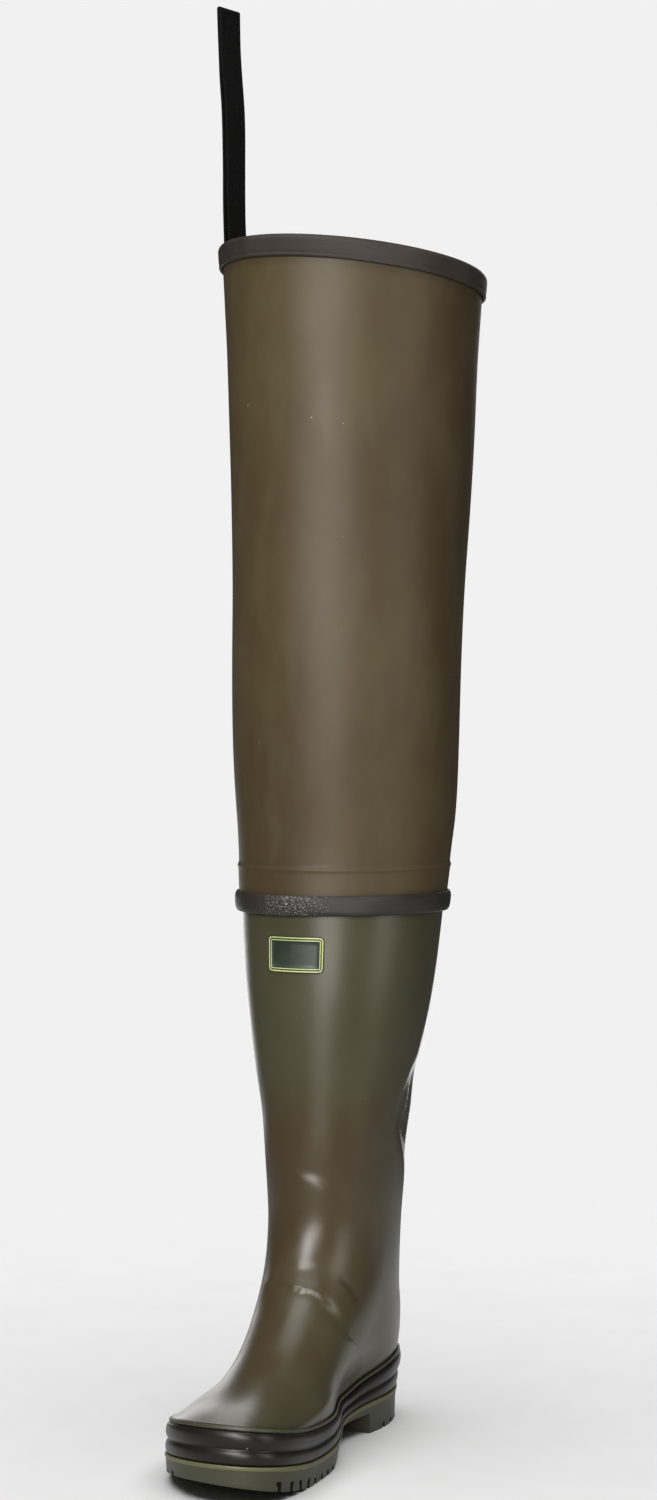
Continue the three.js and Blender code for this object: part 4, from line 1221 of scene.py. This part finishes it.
def seam_marks(corners):
    """Ends of the stitches along a path of straight seams."""
    marks = []
    for (w0, z0), (w1, z1) in zip(corners, corners[1:]):
        count = max(1, round(hypot(w1 - w0, z1 - z0) / STITCH_PITCH))
        for k in range(count):
            ends = [(k + STITCH_START) / count, (k + STITCH_START + STITCH_SHARE) / count]
            marks.append([(lerp(w0, w1, t), lerp(z0, z1, t)) for t in ends])
    return marks


def sewn():
    """A sewn box at the top of the belt loop and a sewn box with a cross on the tab."""
    top = STRAP_TOP - 3.5
    side = STRAP_WIDTH / 2 - SEAM_INSET
    low = top - STITCHED + 4
    box = seam_marks([(-side, low), (-side, top), (side, top), (side, low), (-side, low)])
    for layer, name in ((1, "loop_stitching_out"), (-1, "loop_stitching_in")):
        stitches(name, loop_pose, box, layer)
    low, high = TAB_HIGH - TAB_LENGTH + 3, TAB_HIGH - 9
    cross = seam_marks([(-side, low), (-side, high), (side, high), (side, low), (-side, low), (side, high)])
    cross += seam_marks([(-side, high), (side, low)])
    stitches("tab_stitching", tab_pose, cross, 1)


def strap_ring():
    """A plastic loop of round bars with rounded corners."""
    wide = STRAP_WIDTH / 2 + GAP + 0.7 + BAR_RADIUS
    corner = BAR_RADIUS * 1.3
    grid = []
    for sx, sz, quarter in ((1, 1, 0), (-1, 1, 1), (-1, -1, 2), (1, -1, 3)):
        for a in np.linspace(0, pi / 2, RING_STEPS) + quarter * pi / 2:
            x = sx * (wide - corner) + corner * cos(a)
            z = sz * (BAR_SPAN - corner) + corner * sin(a)
            centre = RING_AT + RING_ACROSS * x + UP * z
            radial = RING_ACROSS * cos(a) + UP * sin(a)
            grid.append([centre + (radial * cos(b) - RING_FACING * sin(b)) * BAR_RADIUS
                         for b in np.linspace(0, tau, RING_SIDES, endpoint=False)])
    finished(ring_piece("strap_ring", grid, [RING]), "ring_plastic", "strap_ring")


boot_upper()
thigh_shaft()
knee_band()
rim_binding()
foxing_band()
toe_rand()
outsole()
label()
strap_patch()
belt_loop()
strap_tab()
sewn()
strap_ring()
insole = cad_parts["insole"]
insole.material_slots[0].material = FELT


# Floor, light and camera

# The camera stands before the boot and a little to its inner side
VIEW_AZIMUTH = radians(21.5)
VIEW_DISTANCE = 2.2
VIEW_HEIGHT = 0.524
VIEW_PITCH = radians(1.276)
VIEW_TURN = radians(0.305)
LENS_IN_PIXELS = 3098
IMAGE_HEIGHT = 1500
FLOOR_REACH = 0.95
FLOOR_LIGHT = 2.95
FLOOR_LIGHT_SPREAD = radians(70)
BACKDROP = 0.8      # brightness of the background
AMBIENT = 0.08      # brightness of the light from all around
WARM, WHITE = (1, 0.96, 0.89), (1, 1, 1)
# Softboxes: name, degrees round from the front, distance, height above the floor, where
# they aim, width, height, power and tint
SOFTBOXES = [
    ("key", 13, 2.3, 0.66, (0, -0.02, 0.5), 1.0, 0.8, 36, WARM),
    ("high", -2, 2.1, 1.3, (0, -0.05, 0.3), 0.75, 1.1, 58, WHITE),
    ("top", 0, 0.6, 2.6, (0, -0.1, 0.1), 1.6, 1.2, 36, WHITE),
    ("fill", 78, 2.2, 0.8, (0, 0, 0.45), 0.9, 1.4, 19, WARM),
    ("rear", 195, 2.6, 1.5, (0, 0, 0.5), 1.6, 1.2, 14, WHITE),
    ("behind", 198, 1.1, 0.1, (0.05, -0.02, 0.22), 0.4, 0.2, 2, WHITE),
    ("back", -140, 1.3, 0.18, (0, -0.15, 0.08), 0.6, 0.3, 1.9, WHITE),
]


def floor():
    """A pale floor that fades out towards its edge."""
    made, tree, place = material("floor", roughness=0.75)
    cloudy = spread(noise(place, 14, 2), 0.3, 0.7)
    tone = blend(cloudy, (240, 240, 240), (243, 243, 243))
    away = add(tree, "VectorMath", {0: place}, operation="LENGTH").outputs["Value"]
    wired(made, base_color=tone, alpha=spread(away, 0.5 * FLOOR_REACH, FLOOR_REACH, 1, 0))
    far = FLOOR_REACH / MM
    corners = [(-far, -far, 0), (far, -far, 0), (far, far, 0), (-far, far, 0)]
    ground = new_object("floor", corners, [range(4)], [made], smooth=False)
    return ground


def aim(thing, direction):
    thing.rotation_euler = direction.to_track_quat("-Z", "Y").to_euler()


def softbox(name, azimuth, distance, height, target, width, tall, power, tint):
    light = bpy.data.lights.new(name, "AREA")
    light.shape = "RECTANGLE"
    light.size, light.size_y, light.energy, light.color = width, tall, power, tint
    lamp = placed(name, light)
    a = radians(azimuth)
    lamp.location = (distance * sin(a), -distance * cos(a), height)
    lamp.visible_camera = False
    aim(lamp, Vector(target) - lamp.location)
    return lamp


def floor_light(ground):
    """An even overhead light that falls on the floor alone."""
    sun = bpy.data.lights.new("floor_light", "SUN")
    sun.energy, sun.angle = FLOOR_LIGHT, FLOOR_LIGHT_SPREAD
    lamp = placed("floor_light", sun)
    lit = bpy.data.collections.new("floor only")
    lit.objects.link(ground)
    lamp.light_linking.receiver_collection = lit


def studio(ground):
    """Soft light from all sides on everything but the floor, before a pale background."""
    others = bpy.data.collections.new("all but the floor")
    others.objects.link(ground)
    others.collection_objects[0].light_linking.link_state = "EXCLUDE"
    for row in SOFTBOXES:
        softbox(*row).light_linking.receiver_collection = others
    world = bpy.data.worlds.new("studio")
    bpy.context.scene.world = world
    world.use_nodes = True
    tree = world.node_tree
    seen = add(tree, "LightPath").outputs["Is Camera Ray"]
    strength = calc("ADD", times(seen, BACKDROP), AMBIENT)
    tree.links.new(strength, tree.nodes["Background"].inputs["Strength"])
    tree.nodes["Background"].inputs["Color"].default_value = (1, 1, 1, 1)


def camera():
    data = bpy.data.cameras.new("camera")
    data.sensor_width = 36
    data.lens = LENS_IN_PIXELS / IMAGE_HEIGHT * data.sensor_width
    data.clip_start, data.clip_end = 0.05, 100
    viewer = placed("camera", data)
    sine, cosine = sin(VIEW_AZIMUTH), cos(VIEW_AZIMUTH)
    viewer.location = (VIEW_DISTANCE * sine, -VIEW_DISTANCE * cosine, VIEW_HEIGHT)
    ahead, right = Vector((-sine, cosine, 0)), Vector((cosine, sine, 0))
    level = ahead * cos(VIEW_TURN) - right * sin(VIEW_TURN)
    aim(viewer, level * cos(VIEW_PITCH) - Vector((0, 0, sin(VIEW_PITCH))))
    bpy.context.scene.camera = viewer


ground = floor()
floor_light(ground)
studio(ground)
camera()
bpy.context.scene.view_settings.view_transform = "Standard"
